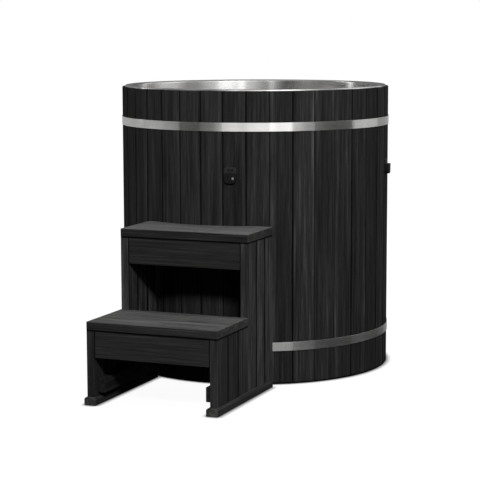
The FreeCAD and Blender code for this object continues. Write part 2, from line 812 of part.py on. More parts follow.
drain_stave = nearest_stave(drain_wanted_angle)
drain_angle = stave_angle(drain_stave)

os.makedirs("parts", exist_ok=True)
all_pieces = {}
all_pieces.update(make_tub())
all_pieces.update(make_drain())
all_pieces.update(make_steps())
for node, shape in all_pieces.items():
    shape.exportStep("parts/" + node + ".step")
    print(node, len(shape.Solids), "valid" if shape.isValid() else "BAD", round(shape.Volume))
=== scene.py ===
"""Looks of a coopered plunge tub with a loose flight of steps, built around its packed construction.

Lengths are metres in the frame's own axes: the tub's axis is Z and the steps stand on the -Y side.
An angle round the tub is counted from -Y towards +X. A piece on the wall is first drawn facing -Y
and then turned about Z to its own angle.
"""
import math

import bpy
import numpy as np
from mathutils import Matrix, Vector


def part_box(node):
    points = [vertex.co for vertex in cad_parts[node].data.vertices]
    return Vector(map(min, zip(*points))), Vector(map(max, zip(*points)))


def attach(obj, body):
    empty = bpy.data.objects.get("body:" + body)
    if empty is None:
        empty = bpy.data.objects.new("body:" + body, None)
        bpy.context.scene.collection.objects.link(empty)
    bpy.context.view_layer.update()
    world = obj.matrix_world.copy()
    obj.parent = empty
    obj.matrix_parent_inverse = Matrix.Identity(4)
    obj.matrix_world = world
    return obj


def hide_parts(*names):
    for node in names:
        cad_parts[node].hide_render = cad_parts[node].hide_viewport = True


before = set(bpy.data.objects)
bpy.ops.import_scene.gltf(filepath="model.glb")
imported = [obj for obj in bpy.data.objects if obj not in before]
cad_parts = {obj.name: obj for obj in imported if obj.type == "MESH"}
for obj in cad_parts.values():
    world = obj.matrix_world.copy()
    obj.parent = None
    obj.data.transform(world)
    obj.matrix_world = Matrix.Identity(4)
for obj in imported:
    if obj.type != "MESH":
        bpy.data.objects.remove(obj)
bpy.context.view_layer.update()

MM = 0.001
draw = np.random.default_rng(11)


def heights(node):
    """The lowest and the highest level of one of the frame's nodes."""
    low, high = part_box(node)
    return low.z, high.z


# Wall of staves
wall_sides = ("front", "right", "rear", "left")
stave_count = 38
stave_pitch = 2 * math.pi / stave_count
first_seam = math.radians(-0.77)
stave_face = 523.4 * MM
stave_inner = 495.4 * MM
stave_gap = 0.2 * MM
stave_foot, stave_top = heights("staves_front")
stave_eases = np.array([3.0, 3.0, 1.7, 2.0, 2.0, 1.7]) * MM
stave_end_ease = 1.6 * MM
seam_bevel = 3.8 * MM

# Stain and painted light on the wall: painted shade in the seams and at the feet, painted highlight
# bands at some stave edges. Staves and seams are counted from the front towards the right
stave_tone = 0.5
# painted contact shade at the staves' feet, where they stand on the floor
foot_shade = 9.0 * MM
# painted shade inside each seam's V, partly stain gathered there; a share of it for each seam
seam_shade_start = 0.1 * MM
seam_shade_fade = 0.7 * MM
usual_seam_shade = (0.4, 1.0)
seam_shades = {0: 0.75, 1: 0.8, 2: 0.8, 3: 0.4, 4: 0.8, 5: 0.3, 6: 0.35, 7: 0.85, 8: 0.5, 9: 0.9,
               10: 1.0, 33: 1.0, 34: 0.9, 35: 0.9, 36: 0.85, 37: 0.8}
# lightening of the seams' eased edges: partly rubbed finish, partly painted highlight
seam_wear_lit = (0.1, 0.45)
# How much lighter a stave is at its left edge, all over and at its right edge. The edge values are
# painted highlight bands; the whole-face values are the stave's tone, but on staves 31 and 32 painted shade
stave_tone_and_light = {0: (0.0, 0.0, 2.0), 1: (0.0, 0.0, 2.2), 2: (0.0, -0.3, 1.4), 3: (2.4, -0.4, 0.0),
               4: (-2.0, 1.5, 0.0), 5: (0.5, 0.0, 0.6), 6: (1.6, 0.1, 0.0), 9: (-1.0, 0.5, 0.5),
               31: (0.0, -3.0, 0.0), 32: (0.0, -3.0, 0.0), 33: (-1.8, -0.2, 0.4),
               34: (1.0, 0.0, 1.6)}
# the lighter edge bands, given here and drawn at random for the other staves, are painted highlights
highlight_band_slope = 5
highlight_band_start = 2.2
usual_highlight_mean, usual_highlight_spread, usual_highlight_most = -0.2, 0.9, 2.0
tone_lean_spread = 0.25
tone_bow_middle = 0.33
flamed_staves = (4, 5, 6, 12, 17, 22, 23, 28)
strong_flames, faint_flames, board_flames = 0.5, 0.2, 0.12
grain_shift = 9.0
tone_most = 2.0

# Hoops
hoops = ("upper_hoop", "lower_hoop")
hoop_inner = 525.18 * MM
hoop_outer = 526.78 * MM
hoop_edge = 0.5 * MM
hoop_joint = math.radians(155.6)
hoop_half_split = 15.0 * MM
hoop_pull = 0.35
ear_thickness = 4.0 * MM
ear_reach = 24.0 * MM
ear_root = 0.4 * MM
ear_corner = 7.0 * MM
ear_root_corner = 1.2 * MM
ear_ease = 0.8 * MM
bolt_radius = 4.0 * MM
bolt_flats = 13.0 * MM
bolt_chamfer = 0.9 * MM
bolt_head = 5.3 * MM
bolt_head_relief = 0.1 * MM
bolt_nut = 6.5 * MM
bolt_overhang = 8.0 * MM
bolt_pitch = 1.25 * MM
bolt_thread = 0.75 * MM
bolt_point = 1.5 * MM
bolt_point_share = 0.35

# Liner
liner_inner = 490.0 * MM
liner_sheet = 2.0 * MM
liner_floor_radius = 478.0 * MM
liner_floor_top = heights("liner_floor")[1]
liner_knuckle = 12.0 * MM
knuckle_ease = 6.0 * MM
liner_foot_ease = 0.4 * MM
lip_roll = 9.0 * MM
lip_edge = 3.5 * MM
lip_hem_ease = 0.6 * MM
lip_gap = 0.2 * MM
lip_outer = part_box("liner_wall")[1].x
lip_top = heights("liner_wall")[1]
ripple_waves = np.array([7, 11, 16, 23, 31])
ripple_sizes = np.array([0.40, 0.26, 0.16, 0.10, 0.06]) * MM
ripple_upper_fade = 0.12
ripple_lower_fade = 0.10

# Drain and valve
drain_angle = first_seam + stave_pitch * 19.5
drain_from_axis = 405.0 * MM
pipe_height = 40.0 * MM
pipe_radius = 24.0 * MM
pipe_bore = 20.5 * MM
pipe_play = 0.15 * MM
flange_radius = 42.0 * MM
flange_thickness = 3.0 * MM
flange_low, flange_high = heights("drain_flange")
flange_eases = 0.4 * MM * np.array([1, 1, 1, 1, 3, 1, 1, 1])
strainer_seat = 2.0 * MM
strainer_rim = 34.15 * MM
valve_start = 553.4 * MM
valve_middle = 601.4 * MM
valve_stop = 649.4 * MM
valve_end = 18.0 * MM
valve_barrel = 34.0 * MM
valve_flats = 60.0 * MM
valve_step = 1.2 * MM
boss_root = 9.0 * MM
boss_radius = 13.0 * MM
boss_top = 90.0 * MM
boss_chamfer = 1.2 * MM
boss_bore = 6.1 * MM
boss_bore_depth = 10.0 * MM
lever_base = 90.15 * MM
lever_thickness = 4.0 * MM
lever_half_width = 11.0 * MM
lever_least_width = 1.0 * MM
lever_length = 140.0 * MM
lever_rise = 14.0 * MM
lever_hub = 22.0 * MM
lever_ramp = 18.0 * MM
lever_arm_start = 4.0 * MM
lever_tip = 6.0 * MM
lever_ease = 0.7 * MM
lever_nut_height = 6.0 * MM
grip_length = 84.0 * MM
grip_wall = 3.0 * MM
grip_round = 3.0 * MM
grip_ease = 3.2 * MM
grip_rib = 0.5 * MM
grip_rib_pitch = 7.0 * MM
soft_corner = 50.0
spigot_radius = 25.0 * MM
spigot_stop = 679.4 * MM
spigot_chamfer = 1.5 * MM
spigot_bore_chamfer = 0.8 * MM
hose_groove = 0.7 * MM
hose_grooves = np.array([8.0, 14.0, 20.0]) * MM
hose_groove_steps = np.array([0.6, 1.6, 2.2]) * MM
spigot_step = 0.2 * MM
collar_half = 35.0 * MM
collar_corner = 13.0 * MM
collar_thickness = 3.0 * MM
collar_ease = 1.0 * MM

# Strap locks
lock_staves = {"front": 1, "right": 10, "rear": 20, "left": 29}
lock_middle = -14.5 * MM
lock_plate = 4.0 * MM
lock_plate_level = 791.9 * MM
lock_ease = 0.7 * MM
lock_key_ease = 0.8 * MM
lock_screw_spread = 6.5 * MM
lock_screw_height = 801.5 * MM
lock_screw_radius = 3.8 * MM
screw_dome = 1.1 * MM
screw_sunk = 0.2 * MM
socket_depth = 1.0 * MM
socket_flats = 0.96
socket_wall = 0.06

# Steps
sides = ("left", "right")
step_arc = 530.63 * MM
tread_ends = ("front", "middle", "rear")
board_ease = 2.2 * MM
board_end_ease = 1.5 * MM
rail_ease = 1.8 * MM
rail_end_ease = 1.6 * MM
rail_cut = 6.0 * MM
side_board_gap = 0.6 * MM
side_boards_in_row = 3

# Stain and painted light on the steps: lightness of each kind of board, painted light and sheen on
# the treads, and how far the painted shade in the joints and under the treads' overhang reaches
step_tone = 0.6
rail_tone = 1.8
# the side boards' lightness: partly tone, partly a painted sheen of the grazing view, most on the tall
# boards
side_tones_and_sheen = {"short_boards_": 1.1, "tall_boards_": 3.2}
apron_tone = {"lower": 1.3, "upper": 0.7}
# painted light and sheen on tread tops, partly thinning of the stain by feet; painted light on the lower
# tread's front, painted shade on the upper's
tread_top_light = {"lower": 3.6, "upper": 5.3}
tread_front = {"lower": 1.2, "upper": -0.5}
tread_end_tone = 1.6
tread_uneven = 0.15
# lightening of a board's eased edges: partly rubbed finish, partly painted highlight
board_worn_lit = 0.5
# painted shade in the joints between side boards, under the treads at the side boards' tops, at the aprons'
# ends and under the treads' overhang at the aprons' tops
side_joint_shade = 6.5 * MM
side_top_shade = 7.0 * MM
apron_end_shade = 4.5 * MM
apron_top_shade = 8.0 * MM


# Shapes

board_marks = ("edge", "groove", "end_shade", "tone", "figure")
tub_axes = ((0, -1, 0), (1, 0, 0), (0, 0, 1))
upright_axes = ((1, 0, 0), (0, 1, 0), (0, 0, 1))
outward_axes = ((1, 0, 0), (0, 0, 1), (0, -1, 0))
sideways_axes = ((0, 1, 0), (0, 0, 1), (1, 0, 0))


class Shell:
    """One closed skin: points, faces, normals, and what a finish reads at each point."""

    def __init__(self, points, quads, caps=(), normals=None, place=None, edge=None):
        self.points = points.reshape(-1, 3)
        self.quads = quads
        self.caps = caps
        self.normals = None if normals is None else normals.reshape(-1, 3)
        self.place = self.points if place is None else place.reshape(-1, 3)
        for mark in board_marks:
            setattr(self, mark, np.zeros(len(self.points)))
        if edge is not None:
            self.edge = edge.reshape(-1)

    def moved(self, angle=0.0, shift=(0.0, 0.0, 0.0)):
        """Shift the skin and then turn it about the tub's axis: x' = x cos - y sin, y' = x sin + y cos."""
        c, s = math.cos(angle), math.sin(angle)
        turn = np.array([[c, s, 0.0], [-s, c, 0.0], [0.0, 0.0, 1.0]])
        self.points = (self.points + np.asarray(shift)) @ turn
        if self.normals is not None:
            self.normals = self.normals @ turn
        return self


def grid_quads(rows, columns, close_rows=False, close_columns=True):
    """Corner numbers of a grid's quads, with its points numbered row by row."""
    i = np.arange(rows if close_rows else rows - 1)
    j = np.arange(columns if close_columns else columns - 1)
    i, j = np.meshgrid(i, j, indexing="ij")
    below, beside = (i + 1) % rows, (j + 1) % columns
    ring = (i * columns + j, i * columns + beside, below * columns + beside, below * columns + j)
    return np.stack(ring, -1).reshape(-1, 4)


def end_caps(rows, columns):
    """The first and the last row of a grid as two faces that look away from each other."""
    first = np.arange(columns)
    return first[::-1], first + (rows - 1) * columns


def whole_turn(count):
    """Evenly spaced angles over one full turn."""
    return np.arange(count) * 2 * math.pi / count


def hexagon_reach(turns, flats):
    """Distance from a hexagon's middle to its side at each angle: half the flats over the cosine."""
    sixth = math.pi / 3
    return flats / 2 / np.cos((turns + sixth / 2) % sixth - sixth / 2)


def box_corners(left, low, right, high):
    """The corners of a rectangle, counter-clockwise."""
    return [(left, low), (right, low), (right, high), (left, high)]


def rounded_outline(corners, radii, steps=4, runs=1):
    """A closed outline, counter-clockwise, with every corner of a polygon rounded.

    An arc's centre lies at corner - b r (n1 + n2) / (1 + n1.n2), where n1 and n2 are the outward normals
    of the two sides and b is 1 at an outer corner and -1 at an inner one. Its points are centre + b r n,
    with n turning from n1 to n2. Each straight side is divided into runs.
    Returns the points, their outward normals, and 1 at the crest of each arc falling to 0 at its ends.
    """
    corners = np.asarray(corners, float)
    radii = np.broadcast_to(np.asarray(radii, float), len(corners))
    ahead = np.roll(corners, -1, 0) - corners
    ahead = ahead / np.linalg.norm(ahead, axis=1, keepdims=True)
    leaves = np.stack([ahead[:, 1], -ahead[:, 0]], 1)
    comes = np.roll(leaves, 1, 0)
    dot = (comes * leaves).sum(1)
    turn = np.arctan2(comes[:, 0] * leaves[:, 1] - comes[:, 1] * leaves[:, 0], dot)
    reach = np.sign(turn) * radii
    centre = corners - (reach / (1 + dot))[:, None] * (comes + leaves)
    share = np.linspace(0, 1, steps + 1)
    angle = np.arctan2(comes[:, 1], comes[:, 0])[:, None] + turn[:, None] * share
    normals = np.stack([np.cos(angle), np.sin(angle)], -1)
    points = centre[:, None] + reach[:, None, None] * normals
    crest = np.broadcast_to(np.sin(np.pi * share), angle.shape)
    along = np.linspace(0, 1, runs + 1)[1:-1, None]
    side = points[:, -1:] * (1 - along) + np.roll(points[:, :1], -1, 0) * along
    points = np.concatenate([points, side], 1).reshape(-1, 2)
    normals = np.concatenate([normals, np.broadcast_to(leaves[:, None], side.shape)], 1).reshape(-1, 2)
    crest = np.concatenate([crest, np.zeros(side.shape[:2])], 1).reshape(-1)
    return points, normals, crest


def carried(outline, start, stop, ease, along=2, rings=1, steps=4):
    """A closed outline carried along an axis, with both ends rounded over by a quarter circle.

    At the angle a of that quarter circle a ring is drawn in by ease (1 - cos a), lies ease (1 - sin a)
    inside the end, and its normals lean by a towards the axis. The outline's two directions and the axis
    follow each other as X, Y, Z do. The place that a finish reads is (outline, outline, axis).
    """
    points, normals, crest = outline
    a = np.linspace(0.5 * math.pi, 0, steps + 1)
    middle = np.linspace(start + ease, stop - ease, rings + 1)[1:-1]
    end = ease * (1 - np.sin(a))
    at = np.concatenate([start + end, middle, stop - end[::-1]])
    inset = np.concatenate([ease * (1 - np.cos(a)), 0 * middle, ease * (1 - np.cos(a[::-1]))])
    lean = np.concatenate([-a, 0 * middle, a[::-1]])[:, None, None]
    flat = points[None] - inset[:, None, None] * normals[None]
    level = np.broadcast_to(at[:, None, None], flat.shape[:2] + (1,))
    skin = np.concatenate([flat, level], 2)
    facing = np.concatenate([np.cos(lean) * normals[None], np.broadcast_to(np.sin(lean), level.shape)], 2)
    edge = np.maximum(crest[None], np.sin(2 * np.abs(lean[:, :, 0])))
    axes = {0: [2, 0, 1], 1: [1, 2, 0], 2: [0, 1, 2]}[along]
    shape = flat.shape[:2]
    return Shell(skin[..., axes], grid_quads(*shape), end_caps(*shape), facing[..., axes], skin, edge)


def spun(radius, level, turns, axes, origin=(0, 0, 0), facing=None, swell=0.0, closed=True, full=True):
    """An outline (radius, level) turned about an axis.

    A point is origin + r (e1 cos t + e2 sin t) + level e3, where e1, e2 and e3 are the rows of axes and
    r is radius + swell. Radius, level and swell may differ from turn to turn. Where facing gives the
    outline's normals, they lean back by the slope of the swell. The place that a finish reads is
    (arc length, radius, level).
    """
    e1, e2, e3 = np.asarray(axes, float)
    t = np.asarray(turns)[:, None]
    r, s = np.broadcast_arrays(radius + swell + 0 * t, level + 0 * t)
    skin = (r * np.cos(t))[..., None] * e1 + (r * np.sin(t))[..., None] * e2 + s[..., None] * e3
    normals = None
    if facing is not None:
        slope = np.gradient(r, turns, axis=0) / r
        lean = t - np.arctan(slope)
        out = np.cos(lean)[..., None] * e1 + np.sin(lean)[..., None] * e2
        normals = facing[None, :, :1] * out + facing[None, :, 1:] * e3
    rows, columns = r.shape
    quads = grid_quads(rows, columns, full, closed)[:, ::-1]
    caps = ()
    if closed and not full:
        caps = tuple(cap[::-1] for cap in end_caps(rows, columns))
    if not closed:
        rim = np.arange(rows) * columns
        caps = (rim[::-1], rim + columns - 1)
    place = np.stack(np.broadcast_arrays(t * r.mean(), r, s), -1)
    return Shell(skin + np.asarray(origin), quads, caps, normals, place)


def hexagon_block(levels, cut, axes, origin=(0, 0, 0)):
    """A bolt's head or nut: a turned disc, cut in by twice the chamfer at some levels, whose radius is
    held within the hexagon."""
    turns = whole_turn(96)
    radius = bolt_flats / math.sqrt(3) - 2 * bolt_chamfer * np.array(cut)
    radius = np.minimum(radius, hexagon_reach(turns, bolt_flats)[:, None])
    return spun(radius, levels, turns, axes, origin, closed=False)


def joined(shells, kind):
    """One kind of array of all shells, end to end."""
    return np.concatenate([getattr(shell, kind) for shell in shells], 0)


def show(name, data):
    """Put data into the scene as an object at the origin."""
    thing = bpy.data.objects.new(name, data)
    bpy.context.scene.collection.objects.link(thing)
    return thing


def hang(name, mesh, body, nodes):
    """Show a mesh as a piece that rides on a body and stands for the frame's nodes."""
    piece = show(name, mesh)
    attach(piece, body)
    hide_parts(*nodes)
    return piece


def new_piece(name, shells, finish, body, nodes, sharp=30.0):
    """Put shells into one object at the origin and hang it on its body in place of the frame's nodes."""
    mesh = bpy.data.meshes.new(name)
    first = np.cumsum([0] + [len(shell.points) for shell in shells])
    faces = []
    for start, shell in zip(first, shells):
        faces += (shell.quads + start).tolist()
        faces += [(cap + start).tolist() for cap in shell.caps]
    mesh.from_pydata(joined(shells, "points").tolist(), [], faces)
    place = mesh.attributes.new("place", "FLOAT_VECTOR", "POINT")
    place.data.foreach_set("vector", joined(shells, "place").ravel())
    for mark in board_marks:
        held = mesh.attributes.new(mark, "FLOAT", "POINT")
        held.data.foreach_set("value", joined(shells, mark))
    mesh.materials.append(finish)
    mesh.shade_smooth()
    if all(shell.normals is not None for shell in shells):
        mesh.normals_split_custom_set_from_vertices(joined(shells, "normals").tolist())
    else:
        mesh.set_sharp_from_angle(angle=math.radians(sharp))
    hang(name, mesh, body, nodes)


def new_boards(name, shells, node, body="steps"):
    """Boards of stained wood as one piece."""
    new_piece(name, shells, stained_wood, body, [node])


def new_fitting(name, shells, node, angle=drain_angle, shift=(0.0, 0.0, 0.0), body="tub", sharp=30.0):
    """Shells of fitting metal, shifted and turned to their place round the tub, as one piece."""
    shells = [shell.moved(angle, shift) for shell in shells]
    new_piece(name, shells, fitting_steel, body, [node], sharp)


def eased_copy(name, node, ease, finish, body, upper=None, level=None):
    """A node's own shape with its doubled corners merged, its flats joined again and its edges eased.
    Faces that lie wholly above a level may have a finish of their own."""
    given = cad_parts[node].data
    places = np.empty(3 * len(given.vertices))
    given.vertices.foreach_get("co", places)
    corners = np.empty(len(given.loops), int)
    given.loops.foreach_get("vertex_index", corners)
    points, same = np.unique(np.round(places.reshape(-1, 3), 6), axis=0, return_inverse=True)
    triangles = same.reshape(-1)[corners].reshape(-1, 3)
    whole = (triangles != np.roll(triangles, 1, 1)).all(1)
    mesh = bpy.data.meshes.new(name)
    mesh.from_pydata(points.tolist(), [], triangles[whole].tolist())
    mesh.materials.append(finish)
    if upper is not None:
        mesh.materials.append(upper)
        above = (points[triangles[whole]][..., 2] > level).all(1)
        mesh.polygons.foreach_set("material_index", above.astype(np.int32))
    mesh.shade_smooth()
    piece = hang(name, mesh, body, [node])
    flats = piece.modifiers.new("flats", "DECIMATE")
    flats.decimate_type = "DISSOLVE"
    flats.delimit = {"MATERIAL"}
    flats.angle_limit = math.radians(1.0)
    round_over = piece.modifiers.new("eased", "BEVEL")
    round_over.width = ease
    round_over.segments = 2
    round_over.limit_method = "ANGLE"
    round_over.angle_limit = math.radians(35.0)
    piece.modifiers.new("weights", "WEIGHTED_NORMAL").keep_sharp = True


# Node trees

def feed(tree, sockets, given):
    """Link or set the inputs that are given by name or number."""
    for socket, value in given.items():
        if isinstance(value, bpy.types.NodeSocket):
            tree.links.new(value, sockets[socket])
        else:
            sockets[socket].default_value = value


def add(tree, kind, given=None, **settings):
    """A shader node with its settings, and its inputs linked or set."""
    made = tree.nodes.new("ShaderNode" + kind)
    for key, value in settings.items():
        setattr(made, key, value)
    feed(tree, made.inputs, given or {})
    return made


def noise(tree, place, stretch, detail=4.0, roughness=0.55, distortion=0.0):
    """Noise from 0 to 1 with its own count of cells to the metre along each direction of a place."""
    scaled = add(tree, "VectorMath", {0: place, 1: stretch}, operation="MULTIPLY").outputs[0]
    given = {"Vector": scaled, "Scale": 1.0, "Detail": detail, "Roughness": roughness,
             "Distortion": distortion}
    return add(tree, "TexNoise", given).outputs[0]


def math_node(tree, operation, *values):
    """One sum, product or other operation of values."""
    return add(tree, "Math", dict(enumerate(values)), operation=operation).outputs[0]


def spread(tree, value, low, high, to_low, to_high):
    """A value's range from low to high, drawn to another range and held at its ends."""
    given = {"Value": value, "From Min": low, "From Max": high, "To Min": to_low, "To Max": to_high}
    return add(tree, "MapRange", given).outputs[0]


def ramp(tree, value, *stops):
    """Colours along a value, between stops of (place, colour)."""
    made = add(tree, "ValToRGB", {"Fac": value})
    band = made.color_ramp.elements
    while len(band) < len(stops):
        band.new(1.0)
    for element, (place, colour) in zip(band, stops):
        element.position = place
        element.color = (*colour, 1.0)
    return made.outputs[0]


def even(value):
    """The same value three times: a grey, or an even stretch."""
    return (value, value, value)


def blended(tree, share, a, b):
    """A varying colour a going over to an even colour b by a share."""
    return add(tree, "Mix", {0: share, 6: a, 7: (*b, 1.0)}, data_type="RGBA").outputs[2]


def attribute(tree, name, output="Fac"):
    """What a piece's mesh holds at each point under a name."""
    return add(tree, "Attribute", attribute_name=name).outputs[output]


def object_place(tree):
    """The place in the frame's own axes."""
    return add(tree, "TexCoord").outputs["Object"]


def bump(tree, height, strength, depth):
    """A normal from a height, with the height of 1 a depth in metres."""
    return add(tree, "Bump", {"Height": height, "Strength": strength, "Distance": depth}).outputs[0]


def new_group(name, inputs, values):
    """A node group with its inputs, whose outputs are the named values drawn from them."""
    tree = bpy.data.node_groups.new(name, "ShaderNodeTree")
    for label, kind in inputs.items():
        tree.interface.new_socket(label, in_out="INPUT", socket_type="NodeSocket" + kind)
    outputs = values(tree, tree.nodes.new("NodeGroupInput").outputs)
    for label in outputs:
        tree.interface.new_socket(label, in_out="OUTPUT", socket_type="NodeSocketFloat")
    feed(tree, tree.nodes.new("NodeGroupOutput").inputs, outputs)
    return tree


def placed_group(tree, group, given):
    """A node group set into a material's tree; returns its outputs."""
    made = add(tree, "Group", node_tree=group)
    feed(tree, made.inputs, given)
    return made.outputs


def board_grain_values(tree, given):
    """Grain of a sawn board on a place (across, deep, along): broad flames and fine streaks are noise
    drawn out along the board, and pores are the lowest parts of a finer one."""
    place = given["Place"]
    drawn = noise(tree, place, (24.0, 24.0, 0.9), 2.0, 0.4, 0.8)
    streaks = noise(tree, place, (105.0, 105.0, 3.0), 6.0, 0.74, 0.15)
    fibres = noise(tree, place, (900.0, 900.0, 14.0), 2.0)
    return {"Flames": spread(tree, drawn, 0.47, 0.58, 0.0, 1.0), "Streaks": streaks,
            "Pores": spread(tree, fibres, 0.32, 0.44, 1.0, 0.0),
            "Height": math_node(tree, "MULTIPLY_ADD", streaks, 0.7, fibres)}


def worn_lit_edge_values(tree, given):
    """Where a finish has rubbed thin, and a painted highlight: the crest of an eased edge, broken up by
    noise drawn out along it.
    """
    patches = noise(tree, given["Place"], (30.0, 30.0, 3.0), 4.0, 0.65)
    broken = spread(tree, patches, 0.40, 0.62, 0.0, 1.0)
    return {"Worn_lit": math_node(tree, "MULTIPLY", given["Edge"], broken)}


def brushing_values(tree, given):
    """Brush marks on sheet metal: noise drawn out along a stretch, with slow clouds of handling."""
    return {"Marks": noise(tree, given["Place"], given["Stretch"], 3.0, 0.5),
            "Clouds": noise(tree, given["Place"], even(7.0), 4.0, 0.6)}


def moulding_values(tree, given):
    """Skin of a moulded piece: fine grain of the mould and slow unevenness in space."""
    fine = add(tree, "TexNoise", {"Vector": given["Place"], "Scale": given["Grain"], "Detail": 3.0})
    return {"Fine": fine.outputs[0], "Slow": noise(tree, given["Place"], even(40.0), 3.0)}


board_grain = new_group("board_grain", {"Place": "Vector"}, board_grain_values)
worn_lit_edge = new_group("worn_lit_edge", {"Edge": "Float", "Place": "Vector"}, worn_lit_edge_values)
brushing = new_group("brushing", {"Place": "Vector", "Stretch": "Vector"}, brushing_values)
moulding = new_group("moulding", {"Place": "Vector", "Grain": "Float"}, moulding_values)


# Finishes

quarter_turn = 0.25


def new_finish(name):
    """A material with one Principled shader; returns the material, its tree and the shader's inputs."""
    material = bpy.data.materials.new(name)
    material.use_nodes = True
    return material, material.node_tree, material.node_tree.nodes["Principled BSDF"].inputs


def two_shades(tree, fine, share, slow, dark, light, rough, smooth):
    """A colour and a roughness going together from dark and rough to light and smooth, along a share of
    fine marks and the rest of slow ones."""
    low, high = 0.3, 0.7
    rest = math_node(tree, "MULTIPLY", slow, 1 - share)
    mixed = math_node(tree, "MULTIPLY_ADD", fine, share, rest)
    return {"Base Color": ramp(tree, mixed, (low, dark), (high, light)),
            "Roughness": spread(tree, mixed, low, high, rough, smooth)}


def wooden(tree, shader, grain, colour, shine, rough, smooth, relief):
    """Give a shader the colour of a wood, with streaks that are smoother and grain that stands up."""
    feed(tree, shader, {"Base Color": colour, "Specular IOR Level": shine,
                        "Roughness": spread(tree, grain["Streaks"], 0.3, 0.7, rough, smooth),
                        "Normal": bump(tree, grain["Height"], relief, 0.5 * MM)})


def make_stained_wood():
    """Softwood under a thin black stain: tone from board to board, flames, streaks, edges lightened by a
    rubbed finish and a painted highlight, and painted shade in seams, joints and at the feet.
    """
    flame_share, streak_share, tone_step = 0.17, 0.75, 0.05
    pore_share, worn_lit_share, painted_shade_share = 0.5, 0.65, 0.95
    material, tree, shader = new_finish("black_stained_wood")
    place = attribute(tree, "place", "Vector")
    grain = placed_group(tree, board_grain, {"Place": place})
    shown = math_node(tree, "MULTIPLY", grain["Flames"], attribute(tree, "figure"))
    streaked = math_node(tree, "MULTIPLY", grain["Streaks"], streak_share)
    mixed = math_node(tree, "MULTIPLY_ADD", shown, flame_share, streaked)
    toned = math_node(tree, "MULTIPLY", attribute(tree, "tone"), tone_step)
    stain = ramp(tree, math_node(tree, "ADD", mixed, toned),
                 (0.21, (0.0045, 0.0045, 0.0044)), (0.39, (0.0101, 0.0100, 0.0098)),
                 (0.53, (0.0200, 0.0198, 0.0195)), (0.75, (0.0715, 0.0708, 0.0700)))
    pored = blended(tree, math_node(tree, "MULTIPLY", grain["Pores"], pore_share), stain, even(0.003))
    worn_lit = placed_group(tree, worn_lit_edge, {"Edge": attribute(tree, "edge"), "Place": place})["Worn_lit"]
    # lighter colour on eased edges: partly rubbed finish, partly painted highlight
    edged = blended(tree, math_node(tree, "MULTIPLY", worn_lit, worn_lit_share), pored, (0.075, 0.074, 0.072))
    # painted shade in seams, joints, under overhangs and at the stave feet, mixed towards near black
    dark = math_node(tree, "MAXIMUM", attribute(tree, "groove"), attribute(tree, "end_shade"))
    colour = blended(tree, spread(tree, dark, 0.0, 1.0, 0.0, painted_shade_share), edged, even(0.001))
    wooden(tree, shader, grain, colour, 0.02, 0.82, 0.68, 0.35)
    return material


def make_plain_wood(name, turn):
    """Bare sawn softwood with its grain turned from Z to another axis of the frame."""
    material, tree, shader = new_finish(name)
    place = add(tree, "Mapping", {"Vector": object_place(tree), "Rotation": turn}).outputs[0]
    grain = placed_group(tree, board_grain, {"Place": place})
    streaked = math_node(tree, "MULTIPLY", grain["Streaks"], 0.7)
    mixed = math_node(tree, "MULTIPLY_ADD", grain["Flames"], 0.3, streaked)
    colour = ramp(tree, mixed, (0.3, (0.30, 0.17, 0.08)), (0.5, (0.47, 0.30, 0.16)),
                  (0.7, (0.60, 0.42, 0.25)))
    wooden(tree, shader, grain, colour, 0.25, 0.75, 0.6, 0.3)
    return material


def make_metal(name, dark, light, rough, smooth, stretch=None):
    """Stainless metal under slow clouds. A turned or cast fitting has a fine even tooth. A sheet, which has
    a stretch, has brush marks along its length that spread a reflection across them."""
    material, tree, shader = new_finish(name)
    if stretch is None:
        place, stretch = object_place(tree), even(900.0)
        share, strength, depth = 0.4, 0.06, 0.1 * MM
    else:
        place = attribute(tree, "place", "Vector")
        share, strength, depth = 0.6, 0.05, 0.05 * MM
        along = add(tree, "Tangent", direction_type="RADIAL", axis="Z").outputs[0]
        feed(tree, shader, {"Anisotropic": 1.0, "Anisotropic Rotation": quarter_turn, "Tangent": along})
    brushed = placed_group(tree, brushing, {"Place": place, "Stretch": stretch})
    marks, clouds = brushed["Marks"], brushed["Clouds"]
    feed(tree, shader, two_shades(tree, marks, share, clouds, dark, light, rough, smooth))
    feed(tree, shader, {"Metallic": 1.0, "Normal": bump(tree, marks, strength, depth)})
    return material


def make_moulded(name, dark, light, rough, grain, depth, shine=0.25):
    """Moulded plastic, rubber or foam: a fine skin over slow unevenness."""
    material, tree, shader = new_finish(name)
    skin = placed_group(tree, moulding, {"Place": object_place(tree), "Grain": grain})
    feed(tree, shader, two_shades(tree, skin["Fine"], 0.5, skin["Slow"], dark, light,
                                  rough + 0.08, rough - 0.08))
    feed(tree, shader, {"Specular IOR Level": shine, "Normal": bump(tree, skin["Fine"], 0.3, depth)})
    return material


stained_wood = make_stained_wood()
joist_wood = make_plain_wood("joist_wood", (0.0, -math.pi / 2, 0.0))
deck_wood = make_plain_wood("deck_wood", (math.pi / 2, 0.0, 0.0))
hoop_steel = make_metal("hoop_steel", (0.47, 0.466, 0.457), (0.60, 0.595, 0.585), 0.19, 0.15,
                        (3.0, 900.0, 900.0))
liner_steel = make_metal("liner_steel", (0.69, 0.686, 0.677), (0.81, 0.805, 0.795), 0.28, 0.22,
                         (2.0, 700.0, 700.0))
floor_steel = make_metal("liner_floor_steel", (0.44, 0.435, 0.425), (0.58, 0.575, 0.565), 0.42, 0.28)
fitting_steel = make_metal("fitting_steel", (0.46, 0.45, 0.43), (0.62, 0.61, 0.59), 0.34, 0.20)
lock_steel = make_metal("lock_steel", (0.16, 0.158, 0.154), (0.25, 0.247, 0.24), 0.38, 0.24)
screw_steel = make_metal("black_screw_steel", even(0.004), even(0.010), 0.48, 0.34)
